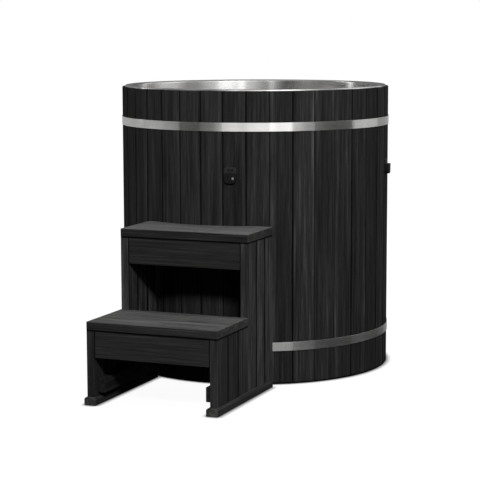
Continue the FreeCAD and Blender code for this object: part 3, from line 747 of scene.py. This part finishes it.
lock_plastic = make_moulded("lock_plastic", even(0.003), even(0.008), 0.55, 1800.0, 0.05 * MM, 0.06)
plate_plastic = make_moulded("lock_plate_plastic", even(0.009), even(0.017), 0.55, 1800.0, 0.05 * MM, 0.10)
grip_plastic = make_moulded("grip_plastic", (0.010, 0.010, 0.011), (0.022, 0.022, 0.023), 0.48, 1500.0,
                            0.06 * MM)
seal_rubber = make_moulded("seal_rubber", even(0.010), even(0.020), 0.70, 1200.0, 0.05 * MM)
foam = make_moulded("closed_cell_foam", (0.30, 0.31, 0.32), (0.46, 0.47, 0.48), 0.85, 700.0, 0.3 * MM)


# Boards

def grained(shell, lighter=0.0, uneven=0.4, flames=board_flames, fine=1.0):
    """Give a board its own tone, its own stretch of grain, a strength of flames and a fineness of grain."""
    shell.place = shell.place * np.array([fine, fine, 1.0]) + draw.uniform(0.0, grain_shift, 3)
    shell.tone = shell.tone + lighter + uneven * np.clip(draw.normal(), -tone_most, tone_most)
    shell.figure = shell.figure + flames
    return shell


def jointed(shell, kind, axis, reach, low=True, high=True):
    """Mark how near a board's points lie to the joints at its two sides along an axis, for painted shade
    there: 1 at half a reach from the side, 0 at a whole reach, and falling on evenly below 0."""
    at = shell.points[:, axis]
    below = (at - at.min()) / reach if low else np.inf
    above = (at.max() - at) / reach if high else np.inf
    setattr(shell, kind, 2 - 2 * np.minimum(below, above))
    return shell


def board(low, high, along, lighter=step_tone, uneven=0.3, fine=1.0, worn_lit=board_worn_lit):
    """A board between two corners with all its edges eased: a rounded rectangle carried along its grain.
    Each side and the length have points at their middle."""
    u, v = ((1, 2), (2, 0), (0, 1))[along]
    outline = rounded_outline(box_corners(low[u], low[v], high[u], high[v]), board_ease, runs=2)
    shell = carried(outline, low[along], high[along], board_end_ease, along, rings=2)
    shell.edge *= worn_lit
    return grained(shell, lighter, uneven, fine=fine)


# Wall

def stave_middle(index):
    """The angle of the middle of one stave."""
    return first_seam + stave_pitch * (index + 0.5)


def stave_outline():
    """A stave's section with radial sides and beveled front corners. Half its width at a depth is the
    distance from the axis times the tangent of half the pitch, less half the gap over its cosine.
    Returns the outline and half the width of its face."""
    half = stave_pitch / 2
    front, back, shoulder = -stave_face, -stave_inner, -stave_face + seam_bevel
    half_face = stave_face * math.tan(half) - seam_bevel
    half_shoulder, half_back = (-y * math.tan(half) - stave_gap / 2 / math.cos(half)
                                for y in (shoulder, back))
    corners = [(-half_face, front), (half_face, front), (half_shoulder, shoulder),
               (half_back, back), (-half_back, back), (-half_shoulder, shoulder)]
    return rounded_outline(corners, stave_eases, steps=3, runs=9), half_face


def make_staves():
    """All staves, in the frame's four groups: a section carried up the wall and turned to its place. Each
    seam gets its own share of painted shade, partly stain gathered in it, and the feet get a painted
    contact shade. The stain's tone over a stave's face leans and bows from side to side; on some edges a
    band of it is lighter as a painted highlight, and staves 31 and 32 carry painted shade over their whole
    face."""
    outline, half_face = stave_outline()
    across = outline[0][:, 0] / half_face
    deep = np.clip((outline[0][:, 1] + stave_face - seam_shade_start) / seam_shade_fade, 0, 1)
    seams = draw.uniform(*usual_seam_shade, stave_count + 1)
    seams[list(seam_shades)] = list(seam_shades.values())
    seams[-1] = seams[0]
    groups = [[] for _ in wall_sides]
    for index in range(stave_count):
        angle = stave_middle(index)
        quarter = int((math.degrees(angle) + 45.0) % 360.0 // 90.0)
        stave = carried(outline, stave_foot, stave_top, stave_end_ease, rings=6)
        rings = len(stave.points) // len(across)
        seam = np.where(across < 0, seams[index], seams[index + 1])
        # painted shade in the seams' V bevels
        stave.groove = np.tile(deep * seam, rings)
        # edge lightening at both seams of this stave, partly painted highlight
        wear_lit = np.clip(draw.uniform(-1.0, 1.0, 2), *seam_wear_lit)
        stave.edge *= np.tile(np.where(across < 0, *wear_lit), rings)
        # painted highlight bands at the stave's edges; the whole-face value is tone, painted shade on 31
        # and 32
        left, right = np.clip(draw.normal(usual_highlight_mean, usual_highlight_spread, 2), 0.0, usual_highlight_most)
        left, whole, right = stave_tone_and_light.get(index, (left, 0.0, right))
        lean, bow = draw.normal(0.0, tone_lean_spread, 2)
        at_left, at_right = (np.clip(sign * highlight_band_slope * across - highlight_band_start, 0, 1)
                             for sign in (-1, 1))
        band = left * at_left + right * at_right
        face = whole + band + lean * across + bow * (across ** 2 - tone_bow_middle)
        stave.tone = np.tile(face, rings)
        # painted contact shade along the stave's foot
        jointed(stave, "end_shade", 2, foot_shade, high=False)
        flames = strong_flames if index in flamed_staves else faint_flames
        groups[quarter].append(grained(stave, stave_tone, flames=flames).moved(angle))
    for side, shells in zip(wall_sides, groups):
        new_boards("wall_staves_" + side, shells, "staves_" + side, "tub")


def make_hoops():
    """Two split bands with welded ears. A band pulled tight is a little flat over each stave: its radius
    falls short of the circle's by a share of the gap to the straight line between two seams."""
    half_split = math.asin(hoop_half_split / hoop_inner)
    turns = hoop_joint + np.linspace(half_split, 2 * math.pi - half_split, stave_count * 16)
    off = (turns - first_seam) % stave_pitch - stave_pitch / 2
    chord = hoop_inner * (1 - math.cos(stave_pitch / 2) / np.cos(off))
    swell = -hoop_pull * chord[:, None]
    for name in hoops:
        low, high = heights(name)
        section = box_corners(hoop_inner, low, hoop_outer, high)
        outline, facing, _ = rounded_outline(section, hoop_edge, steps=3)
        shells = [spun(*outline.T, turns, tub_axes, facing=facing, swell=swell, full=False)]
        plate = box_corners(-hoop_outer - ear_reach, low, -hoop_inner - ear_root, high)
        eases = [ear_corner, ear_root_corner, ear_root_corner, ear_corner]
        plate_outline = rounded_outline(plate, eases, steps=6)
        for left in (-hoop_half_split - ear_thickness, hoop_half_split):
            ear = carried(plate_outline, left, left + ear_thickness, ear_ease, along=0)
            shells.append(ear.moved(hoop_joint))
        new_piece(name + "_band", shells, hoop_steel, "tub", [name])


def make_hoop_fasteners():
    """Bolts and nuts that draw the ears together. The thread is a radius that falls and rises once every
    pitch along a helix, and narrows to a point."""
    bolts, nuts = [], []
    turns = whole_turn(96)
    face = hoop_half_split + ear_thickness
    tip = face + bolt_nut + bolt_overhang
    head_level = np.array([0.0, bolt_chamfer, bolt_head - bolt_head_relief, bolt_head])
    nut_level = face + np.array([0.0, bolt_chamfer, bolt_nut - bolt_chamfer, bolt_nut])
    thread_level = np.arange(-face, tip, bolt_pitch / 6)
    phase = (thread_level[None] / bolt_pitch - turns[:, None] / (2 * math.pi)) % 1.0
    point = np.minimum(1.0, (tip - thread_level) / bolt_point + bolt_point_share)
    thread = (bolt_radius - bolt_thread * np.abs(2 * phase - 1)) * point
    for name in hoops:
        origin = (0.0, -hoop_outer - ear_reach / 2, sum(heights(name)) / 2)
        bolts += [hexagon_block(-face - bolt_head + head_level, [1, 0, 0, 1], sideways_axes, origin),
                  spun(thread, thread_level, turns, sideways_axes, origin, closed=False)]
        nuts.append(hexagon_block(nut_level, [1, 0, 0, 1], sideways_axes, origin))
    new_fitting("hoop_tension_bolts", bolts, "hoop_bolts", hoop_joint)
    new_fitting("hoop_tension_nuts", nuts, "hoop_nuts", hoop_joint)


def make_liner():
    """The liner's wall and rolled lip: one closed outline of the sheet, turned about the tub's axis. The
    wall is a little uneven: its radius swells by a sum of sines of the angle, each a whole number of
    waves round the tub, times a squared sine that dies out towards the lip and the floor."""
    outer = liner_inner + liner_sheet
    under = lip_top - liner_sheet
    foot = liner_floor_top - liner_sheet
    hem = stave_top + lip_gap
    corners = [(lip_outer, hem), (lip_outer, lip_top), (liner_inner, lip_top),
               (liner_inner, liner_floor_top + liner_knuckle), (liner_floor_radius, liner_floor_top),
               (liner_floor_radius, foot), (outer, foot + liner_knuckle + liner_sheet), (outer, under),
               (lip_outer - liner_sheet, under), (lip_outer - liner_sheet, hem)]
    eases = [lip_hem_ease, lip_edge, lip_roll, knuckle_ease, liner_foot_ease, liner_foot_ease,
             knuckle_ease, lip_roll - liner_sheet, lip_edge - liner_sheet, lip_hem_ease]
    outline, facing, _ = rounded_outline(corners, eases, steps=8, runs=7)
    turns = whole_turn(480)
    starts = draw.uniform(0, 2 * math.pi, len(ripple_waves))
    ripple = (ripple_sizes * np.sin(ripple_waves * turns[:, None] + starts)).sum(1)
    upper = np.clip((lip_top - lip_roll - outline[:, 1]) / ripple_upper_fade, 0, 1)
    lower = np.clip((outline[:, 1] - liner_floor_top - liner_knuckle) / ripple_lower_fade, 0, 1)
    still = np.sin(0.5 * math.pi * np.minimum(upper, lower)) ** 2
    wall = spun(*outline.T, turns, tub_axes, facing=facing, swell=ripple[:, None] * still[None])
    new_piece("liner_wall_and_lip", [wall], liner_steel, "tub", ["liner_wall"])


# Strap locks

def make_screw(x):
    """A domed screw head with a hexagon socket: height = dome (1 - q^2) less the socket's depth inside
    the hexagon, over q, the share of the radius, and the turn."""
    turns = whole_turn(48)
    share = np.array([0.04, 0.20, 0.34, 0.42, 0.46, 0.50, 0.54, 0.60, 0.72, 0.84, 0.94, 1.0, 1.0])
    socket = hexagon_reach(turns, socket_flats)[:, None]
    sunk = np.clip((socket - share[None]) / socket_wall + 0.5, 0, 1)
    level = screw_dome * (1 - share ** 2)[None] - socket_depth * sunk
    level[:, -1] = -screw_sunk
    origin = (x, -stave_face - lock_plate, lock_screw_height)
    screw = spun(share * lock_screw_radius, level, turns, outward_axes, origin, closed=False)
    screw.quads = screw.quads[:, ::-1]
    screw.caps = tuple(cap[::-1] for cap in screw.caps)
    return screw


def make_locks():
    """The housings and key barrels keep the frame's shape with eased edges, and get their screws."""
    for side, index in lock_staves.items():
        eased_copy("strap_lock_" + side, "lock_housing_" + side, lock_ease, lock_plastic, "tub",
                   upper=plate_plastic, level=lock_plate_level)
        eased_copy("key_barrel_" + side, "lock_barrel_" + side, lock_key_ease, lock_steel,
                   "lock_key_" + side)
        screws = [make_screw(lock_middle + sign * lock_screw_spread).moved(stave_middle(index))
                  for sign in (-1, 1)]
        new_piece("lock_screws_" + side, screws, screw_steel, "tub", [])


# Steps

def lit_tread(shell, flight):
    """Lighten the upper face of a tread with painted light and sheen, partly where feet have thinned the
    stain; paint light or shade on its front by flight, and lighten its sawn ends.
    """
    ends, front, top = np.abs(shell.normals[:, 0]), -shell.normals[:, 1], shell.normals[:, 2]
    shell.tone = shell.tone + tread_top_light[flight] * np.clip(top, 0, 1) + tread_end_tone * ends
    shell.tone = shell.tone + tread_front[flight] * np.clip(front, 0, 1)
    return shell


def make_side_boards():
    """Upright boards of both sides, each row divided evenly along the steps."""
    last = side_boards_in_row - 1
    for side in sides:
        # lightness of the side boards, partly painted sheen
        for kind, lighter in side_tones_and_sheen.items():
            low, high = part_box(kind + side)
            pitch = (high.y - low.y + side_board_gap) / side_boards_in_row
            shells = []
            for k in range(side_boards_in_row):
                front, rear = low.y + k * pitch, low.y + (k + 1) * pitch - side_board_gap
                shell = board((low.x, front, low.z), (high.x, rear, high.z), 2, lighter,
                              uneven=0.5, fine=0.5, worn_lit=0.3)
                # painted shade along the joints between side boards and under the tread at their tops
                jointed(shell, "groove", 1, side_joint_shade, low=k > 0, high=k < last)
                shells.append(jointed(shell, "end_shade", 2, side_top_shade, low=False))
            new_boards(kind + side + "_set", shells, kind + side)


def make_foot_rails():
    """Foot rails: a rectangle with its two upper corners cut off, carried along the floor."""
    for side in sides:
        name = "foot_rail_" + side
        low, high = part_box(name)
        shoulder = high.z - rail_cut
        corners = [(low.z, low.x), (shoulder, low.x), (high.z, low.x + rail_cut),
                   (high.z, high.x - rail_cut), (shoulder, high.x), (low.z, high.x)]
        rail = carried(rounded_outline(corners, rail_ease), low.y, high.y, rail_end_ease, along=1)
        new_boards(name + "_board", [grained(rail, rail_tone)], name)


def make_plain_boards():
    """Battens, aprons and the straight tread boards, each one board along its longest side."""
    names = ["lower_apron", "upper_apron"]
    names += ["lower_tread_" + end for end in tread_ends] + ["upper_tread_front", "upper_tread_middle"]
    names += [kind + side for side in sides
              for kind in ("foot_batten_", "lower_tread_batten_", "upper_tread_batten_")]
    for name in names:
        flight = name[:5]
        low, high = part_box(name)
        along = int(np.argmax(np.array(high) - np.array(low)))
        if "apron" in name:
            shell = board(low, high, along, apron_tone[flight], uneven=0.1, fine=2.0)
            # painted shade at the apron's ends and under the tread's overhang at its top
            jointed(shell, "end_shade", 0, apron_end_shade)
            jointed(shell, "groove", 2, apron_top_shade, low=False)
        elif "batten" in name:
            shell = board(low, high, along, worn_lit=0.0)
        else:
            # painted light and sheen on the tread's top and front
            shell = lit_tread(board(low, high, along, uneven=tread_uneven), flight)
        new_boards(name + "_board", [shell], name)


def make_hollowed_tread():
    """The rear board of the upper tread, hollowed to the tub: a rounded plan whose rear side is drawn in
    by sqrt(R^2 - x^2) less its distance from the tub's axis, carried through the board's thickness."""
    name = "upper_tread_rear"
    low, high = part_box(name)
    plan = box_corners(low.x, low.y, high.x, high.y)
    points, normals, crest = rounded_outline(plan, board_ease, runs=72)
    x = points[:, 0]
    round_wall = np.sqrt(step_arc ** 2 - x ** 2)
    notch = np.maximum(0.0, round_wall + high.y)
    slope = np.where(notch > 0, -x / round_wall, 0.0)
    rear = points[:, 1] > high.y - board_ease / 2
    points[:, 1] -= np.where(rear, notch, 0.0)
    leaned = np.stack([slope, np.ones_like(slope)], 1) / np.hypot(slope, 1.0)[:, None]
    straight = rear & (crest == 0)
    normals = np.where(straight[:, None], leaned, normals)
    tread = carried((points, normals, crest), low.z, high.z, board_end_ease)
    tread.place = tread.place[:, [1, 2, 0]]
    tread.edge *= board_worn_lit
    # painted light and sheen on the tread's top and front
    lit_tread(grained(tread, step_tone, tread_uneven), "upper")
    new_boards(name + "_board", [tread], name)


# Drain and valve

def make_drain():
    """The flange in the floor, turned from one outline about the drain's own upright axis."""
    under, seat = flange_high - flange_thickness, flange_high - strainer_seat
    corners = [(pipe_bore, flange_low), (pipe_radius, flange_low), (pipe_radius, under),
               (flange_radius, under), (flange_radius, flange_high), (strainer_rim, flange_high),
               (strainer_rim, seat), (pipe_bore, seat)]
    outline, facing, _ = rounded_outline(corners, flange_eases, steps=3)
    flange = spun(*outline.T, whole_turn(96), upright_axes, (0.0, -drain_from_axis, 0.0), facing=facing)
    new_fitting("drain_flange_ring", [flange], "drain_flange")


def make_valve_body():
    """The valve's body: a turned outline with a water way, cut by a hexagon at both ends, and the stem's
    boss, turned about its own axis."""
    turns = whole_turn(120)
    step = valve_step
    start, stop = valve_start + valve_end, valve_stop - valve_end
    corner = valve_flats / math.sqrt(3)
    neck = valve_barrel - 2 * step
    bore = pipe_radius + pipe_play
    corners = [(bore, valve_start), (corner - step, valve_start), (corner, valve_start + step),
               (corner, start - step), (corner - step, start), (neck, start + step),
               (valve_barrel, start + 5 * step), (valve_barrel, stop - 5 * step), (neck, stop - step),
               (corner - step, stop), (corner, stop + step), (corner, valve_stop - step),
               (corner - step, valve_stop), (bore, valve_stop)]
    radius, level = np.array(corners).T
    ends = (level <= start) | (level >= stop)
    hexagon = np.where(ends[None], hexagon_reach(turns, valve_flats)[:, None], np.inf)
    body = spun(np.minimum(radius[None], hexagon), level, turns, outward_axes, (0.0, 0.0, pipe_height))
    boss = np.array([(boss_root, pipe_height), (boss_radius, pipe_height),
                     (boss_radius, boss_top - boss_chamfer), (boss_radius - boss_chamfer, boss_top),
                     (boss_bore, boss_top), (boss_bore, boss_top - boss_bore_depth)])
    stem_boss = spun(*boss.T, whole_turn(64), upright_axes, (0.0, -valve_middle, 0.0), closed=False)
    new_fitting("valve_body_casting", [body, stem_boss], "valve_body")


def make_spigot():
    """The outlet stub: a turned outline with shallow grooves for a hose."""
    start = valve_stop - valve_end + pipe_play
    rows = [(pipe_bore, start), (pipe_radius, start), (pipe_radius, valve_stop),
            (spigot_radius, valve_stop + spigot_step)]
    floor = spigot_radius - hose_groove
    for at in valve_stop + hose_grooves:
        down, up, past = at + hose_groove_steps
        rows += [(spigot_radius, at), (floor, down), (floor, up), (spigot_radius, past)]
    rows += [(spigot_radius, spigot_stop - spigot_chamfer), (spigot_radius - spigot_chamfer, spigot_stop),
             (pipe_bore + spigot_bore_chamfer, spigot_stop), (pipe_bore, spigot_stop - spigot_bore_chamfer)]
    stub = spun(*np.array(rows).T, whole_turn(96), outward_axes, (0.0, 0.0, pipe_height))
    new_fitting("outlet_stub", [stub], "drain_spigot")


def make_collar():
    """The rubber wall plate: a square with rounded corners carried through its thickness."""
    square = box_corners(pipe_height - collar_half, -collar_half, pipe_height + collar_half, collar_half)
    outline = rounded_outline(square, collar_corner, steps=8)
    plate = carried(outline, -stave_face - collar_thickness, -stave_face, collar_ease, along=1)
    new_piece("wall_plate", [plate.moved(drain_angle)], seal_rubber, "tub", ["wall_collar"])


def bent_strip(x, z, half_width, thickness, ease, steps=4):
    """A strip carried along a path in X and Z: each section is a rounded rectangle, upright to the path,
    whose half width is given at each point of the path. A point lies at the path plus its height in the
    section times the path's normal."""
    along = np.gradient(np.stack([x, z], 1), axis=0)
    along = along / np.linalg.norm(along, axis=1, keepdims=True)
    unit, facing, _ = rounded_outline(box_corners(-1.0, -1.0, 1.0, 1.0), 1e-6, steps=steps)
    across = (half_width[:, None] - ease) * unit[None, :, 0] + ease * facing[None, :, 0]
    above = (thickness / 2 - ease) * unit[None, :, 1] + ease * facing[None, :, 1]
    points = np.stack([x[:, None] - above * along[:, 1:], across, z[:, None] + above * along[:, :1]], -1)
    shape = points.shape[:2]
    return Shell(points, grid_quads(*shape), end_caps(*shape))


def lever_blade():
    """The lever's blade. Its height is a smooth step, 3 q^2 - 2 q^3, over the share q of the ramp from the
    hub to the raised arm. Its hub ends in a half circle, and its tip has rounded corners."""
    arm_stop = lever_length - lever_tip
    x = np.concatenate([-lever_half_width * np.cos(np.linspace(0.03, math.pi / 2, 14)),
                        np.linspace(lever_arm_start, arm_stop, 60),
                        arm_stop + lever_tip * np.sin(np.linspace(0.1, math.pi / 2 - 0.05, 8))])
    share = np.clip((x - lever_hub) / lever_ramp, 0, 1)
    z = lever_base + lever_thickness / 2 + lever_rise * (3 * share ** 2 - 2 * share ** 3)
    hub = np.sqrt(np.maximum(lever_half_width ** 2 - np.minimum(x, 0.0) ** 2, 0.0))
    past = np.maximum(x - arm_stop, 0.0)
    tip = np.sqrt(np.maximum(lever_tip ** 2 - past ** 2, 0.0))
    half_width = np.maximum(hub - lever_tip + tip, lever_least_width)
    return bent_strip(x, z, half_width, lever_thickness, lever_ease)


def lever_grip():
    """The soft grip over the lever's arm. Its half width is rounded over by a quarter circle at both ends,
    and between them it falls by the lower half of a cosine, once every rib."""
    start, stop = lever_length - grip_length, lever_length + grip_wall
    x = np.linspace(start, stop, 90)
    level = lever_base + lever_rise + lever_thickness / 2
    ends = np.minimum(x - start, stop - x) / grip_round
    round_over = np.sqrt(1 - (1 - np.clip(ends, 0.02, 1)) ** 2)
    ribs = grip_rib * np.cos((x - start) / grip_rib_pitch * 2 * math.pi) * np.clip(ends / 4 - 1, 0, 1)
    half_width = lever_half_width + grip_wall - grip_round + grip_round * round_over + np.minimum(ribs, 0.0)
    return bent_strip(x, np.full_like(x, level), half_width, lever_thickness + 2 * grip_wall, grip_ease, 6)


def make_lever():
    """The lever, its soft grip and its nut, on the stem's own axis."""
    shift = (0.0, -valve_middle, 0.0)
    new_fitting("lever_blade", [lever_blade()], "valve_lever", shift=shift, body="drain_lever",
                sharp=soft_corner)
    grip = lever_grip().moved(drain_angle, shift)
    new_piece("lever_soft_grip", [grip], grip_plastic, "drain_lever", ["lever_grip"],
              soft_corner)
    levels = np.array([0.0, lever_nut_height - bolt_chamfer, lever_nut_height])
    nut = hexagon_block(lever_base + lever_thickness + levels, [0, 0, 1], upright_axes)
    new_fitting("lever_hex_nut", [nut], "lever_nut", shift=shift, body="drain_lever")


def dress_frame():
    """Finishes for the frame's own shapes that stay in view or lie inside the wall."""
    dressed = {
        joist_wood: ("base_bearer_front", "base_bearer_middle", "base_bearer_rear"),
        deck_wood: ("floor_boards",), foam: ("floor_insulation", "wall_insulation"),
        floor_steel: ("liner_floor",), seal_rubber: ("drain_gasket",),
        fitting_steel: ("drain_strainer", "drain_locknut", "drain_sump", "valve_plug", "valve_stem"),
    }
    for finish, names in dressed.items():
        for name in names:
            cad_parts[name].material_slots[0].material = finish


for make in (make_staves, make_hoops, make_hoop_fasteners, make_liner, make_locks, make_side_boards,
             make_foot_rails, make_plain_boards, make_hollowed_tread, make_drain, make_valve_body,
             make_spigot, make_collar, make_lever, dress_frame):
    make()


# Studio

white = (1.0, 1.0, 1.0, 1.0)
ambient = 0.02
floor_size = 60.0
floor_glow = 0.955
floor_take = 0.045
floor_matt = 0.05
# painted contact shadow: how far it reaches, the span of ambient occlusion it spans, and its darkest glow
painted_contact_shadow_reach = 0.024
painted_contact_shadow_range = (0.55, 0.98)
painted_contact_shadow_glow = 0.15
lamp_target = np.array([0.0, 0.0, 0.6])
# Each lamp's angle round the tub and above the horizon, distance, size and power
lamps = {"key": (25.0, 25.7, 3.98, 0.40, 161.0), "left_fill": (-62.0, 18.0, 5.0, 2.4, 116.0),
         "right_fill": (95.0, 15.0, 5.0, 2.4, 108.0), "rear_fill": (185.0, 20.0, 5.0, 2.4, 170.0)}
sky_width = 60.0
sky_strength = 3.25
camera_lens = 125.98
camera_place = (2.4879, -6.1788, 1.3582)
camera_turns = ((22.465, "Z"), (82.443, "X"), (-0.161, "Z"))
# Each ring's two radii, its two levels, and its stops of (angle, brightness)
rings = {
    "low_ring": ((4.2, 4.2), (0.05, 1.15), (
        (-130, 0.50), (-110, 0.58), (-91, 0.64), (-89, 0.46), (-84, 0.46), (-81, 0.69), (-60, 0.76),
        (-46, 0.50), (-40, 0.11), (-34, 0.03), (-27, 0.04), (-19, 0.27), (-12, 0.42), (-8, 0.95),
        (-3, 1.45), (6, 1.38), (12, 1.54), (30, 1.72), (47, 1.60), (51, 0.84), (56, 0.26), (66, 0.24),
        (71, 0.0), (80, 0.0), (103, 0.0), (109, 0.28), (113, 0.65), (124, 0.80), (140, 0.70),
        (147, 0.47), (160, 0.38), (170, 0.45), (180, 0.48))),
    "high_ring": ((4.2, 4.2), (1.15, 5.0), (
        (-170, 0.15), (-110, 0.24), (-91, 0.36), (-89.5, 2.90), (-85, 2.90), (-83.5, 0.12), (-60, 0.03),
        (-48, 0.20), (-34, 0.54), (-26, 0.26), (-18, 0.04), (-8, 0.12), (1, 0.66), (3.5, 1.55),
        (6.5, 1.55), (9, 0.66), (15, 0.78), (24, 1.42), (31, 1.45), (34.5, 3.50), (38.5, 3.50),
        (41, 2.10), (46, 3.25), (58, 3.10), (63, 1.60), (71, 1.36), (82, 0.66), (96, 0.62),
        (113, 1.38), (128, 1.02), (143, 0.42), (153, 0.40), (157.5, 1.45), (160.5, 1.45),
        (162.5, 0.45), (170, 0.15))),
    "top_ring": ((4.2, 0.05), (5.0, 5.0), (
        (-170, 0.35), (-90, 0.45), (-60, 0.20), (-34, 0.50), (-14, 0.42), (10, 0.42), (60, 0.30),
        (150, 0.30))),
    "floor_ring": ((0.30, 4.2), (0.004, 0.004), (
        (-60, 0.25), (25, 0.25), (42, 0.22), (50, 0.16), (56, 0.143), (61, 0.125), (66, 0.076),
        (80, 0.073), (92, 0.063), (125, 0.054), (135, 0.14), (142, 0.215), (152, 0.29), (200, 0.27))),
}


def lit_share(tree):
    """1 for rays that look at the background: from the camera, off metal or through glass."""
    path = add(tree, "LightPath").outputs
    seen = math_node(tree, "MAXIMUM", path["Is Camera Ray"], path["Is Glossy Ray"])
    return math_node(tree, "MAXIMUM", seen, path["Is Transmission Ray"])


def make_world():
    """White where it is looked at, and a dim even light elsewhere."""
    world = bpy.data.worlds.new("studio")
    bpy.context.scene.world = world
    world.use_nodes = True
    tree = world.node_tree
    strength = spread(tree, lit_share(tree), 0.0, 1.0, ambient, 1.0)
    feed(tree, tree.nodes["Background"].inputs, {"Color": white, "Strength": strength})


def new_glow(name, mesh):
    """A material without a shader, on a mesh; returns its tree."""
    material = bpy.data.materials.new(name)
    material.use_nodes = True
    material.node_tree.nodes.clear()
    mesh.materials.append(material)
    return material.node_tree


def make_floor():
    """A pale floor: a steady white glow for rays that look at it, which falls off close to what stands on
    it as a painted contact shadow, with a share of matt white on top that takes the object's shadow."""
    mesh = bpy.data.meshes.new("studio_floor")
    half = floor_size / 2
    corners = [(x, y, 0.0) for x, y in box_corners(-half, -half, half, half)]
    mesh.from_pydata(corners, [], [(0, 1, 2, 3)])
    tree = new_glow("studio_floor", mesh)
    # painted contact shadow: the glow dims where ambient occlusion finds something close
    free = add(tree, "AmbientOcclusion", {"Distance": painted_contact_shadow_reach}, samples=8).outputs["AO"]
    lit = spread(tree, free, *painted_contact_shadow_range, painted_contact_shadow_glow * floor_glow, floor_glow)
    glow = add(tree, "Emission", {"Color": white, "Strength": lit}).outputs[0]
    shadow, matt = (add(tree, "BsdfDiffuse", {"Color": (*even(share), 1.0)}).outputs[0]
                    for share in (floor_take, floor_matt))
    looked_at = add(tree, "AddShader", {0: glow, 1: shadow}).outputs[0]
    mixed = add(tree, "MixShader", {0: lit_share(tree), 1: matt, 2: looked_at}).outputs[0]
    add(tree, "OutputMaterial", {"Surface": mixed})
    floor = show("studio_floor", mesh)


def make_ring(name, radii, levels, stops):
    """A ring of graded card round the tub, seen only by what is polished: a grid of angle and height
    whose brightness is drawn straight from one stop of (angle, brightness) to the next."""
    degrees = np.arange(0.0, 360.0, 0.5)
    ring = spun(np.array(radii), np.array(levels), np.radians(degrees), tub_axes, closed=False)
    brightness = np.interp(degrees, *np.array(stops).T, period=360.0)
    mesh = bpy.data.meshes.new(name)
    mesh.from_pydata(ring.points.tolist(), [], ring.quads.tolist())
    held = mesh.attributes.new("glow", "FLOAT", "POINT")
    held.data.foreach_set("value", np.repeat(brightness, 2))
    tree = new_glow(name, mesh)
    glow = add(tree, "Emission", {"Color": white, "Strength": attribute(tree, "glow")}).outputs[0]
    add(tree, "OutputMaterial", {"Surface": glow})
    card = show(name, mesh)
    for ray in ("camera", "diffuse", "transmission", "shadow"):
        setattr(card, "visible_" + ray, False)


def make_lamp(name, angle, height_angle, distance, size, power):
    """A soft square lamp at an angle round the tub and above the horizon, aimed at the tub's middle."""
    data = bpy.data.lights.new(name, "AREA")
    data.shape = "SQUARE"
    data.size = size
    data.energy = power
    a, e = math.radians(angle), math.radians(height_angle)
    back = np.array([math.sin(a) * math.cos(e), -math.cos(a) * math.cos(e), math.sin(e)])
    turn = Matrix.Rotation(a, 4, "Z") @ Matrix.Rotation(math.pi / 2 - e, 4, "X")
    lamp = show(name, data)
    lamp.matrix_world = Matrix.Translation(lamp_target + back * distance) @ turn
    lamp.visible_glossy = False


def make_sky_lamp():
    """A broad even light from straight above, as wide as an angle of the sky."""
    data = bpy.data.lights.new("overhead", "SUN")
    data.angle = math.radians(sky_width)
    data.energy = sky_strength
    show("overhead", data).visible_glossy = False


def make_camera():
    """A long lens a little above the tub's rim, to the right of the steps' front."""
    data = bpy.data.cameras.new("camera")
    data.lens = camera_lens
    data.sensor_width = 36.0
    camera = show("camera", data)
    place = Matrix.Translation(camera_place)
    for angle, axis in camera_turns:
        place = place @ Matrix.Rotation(math.radians(angle), 4, axis)
    camera.matrix_world = place
    bpy.context.scene.camera = camera


make_world()
make_floor()
for lamp, setting in lamps.items():
    make_lamp(lamp, *setting)
make_sky_lamp()
for ring, setting in rings.items():
    make_ring(ring, *setting)
make_camera()
bpy.context.scene.view_settings.view_transform = "Standard"
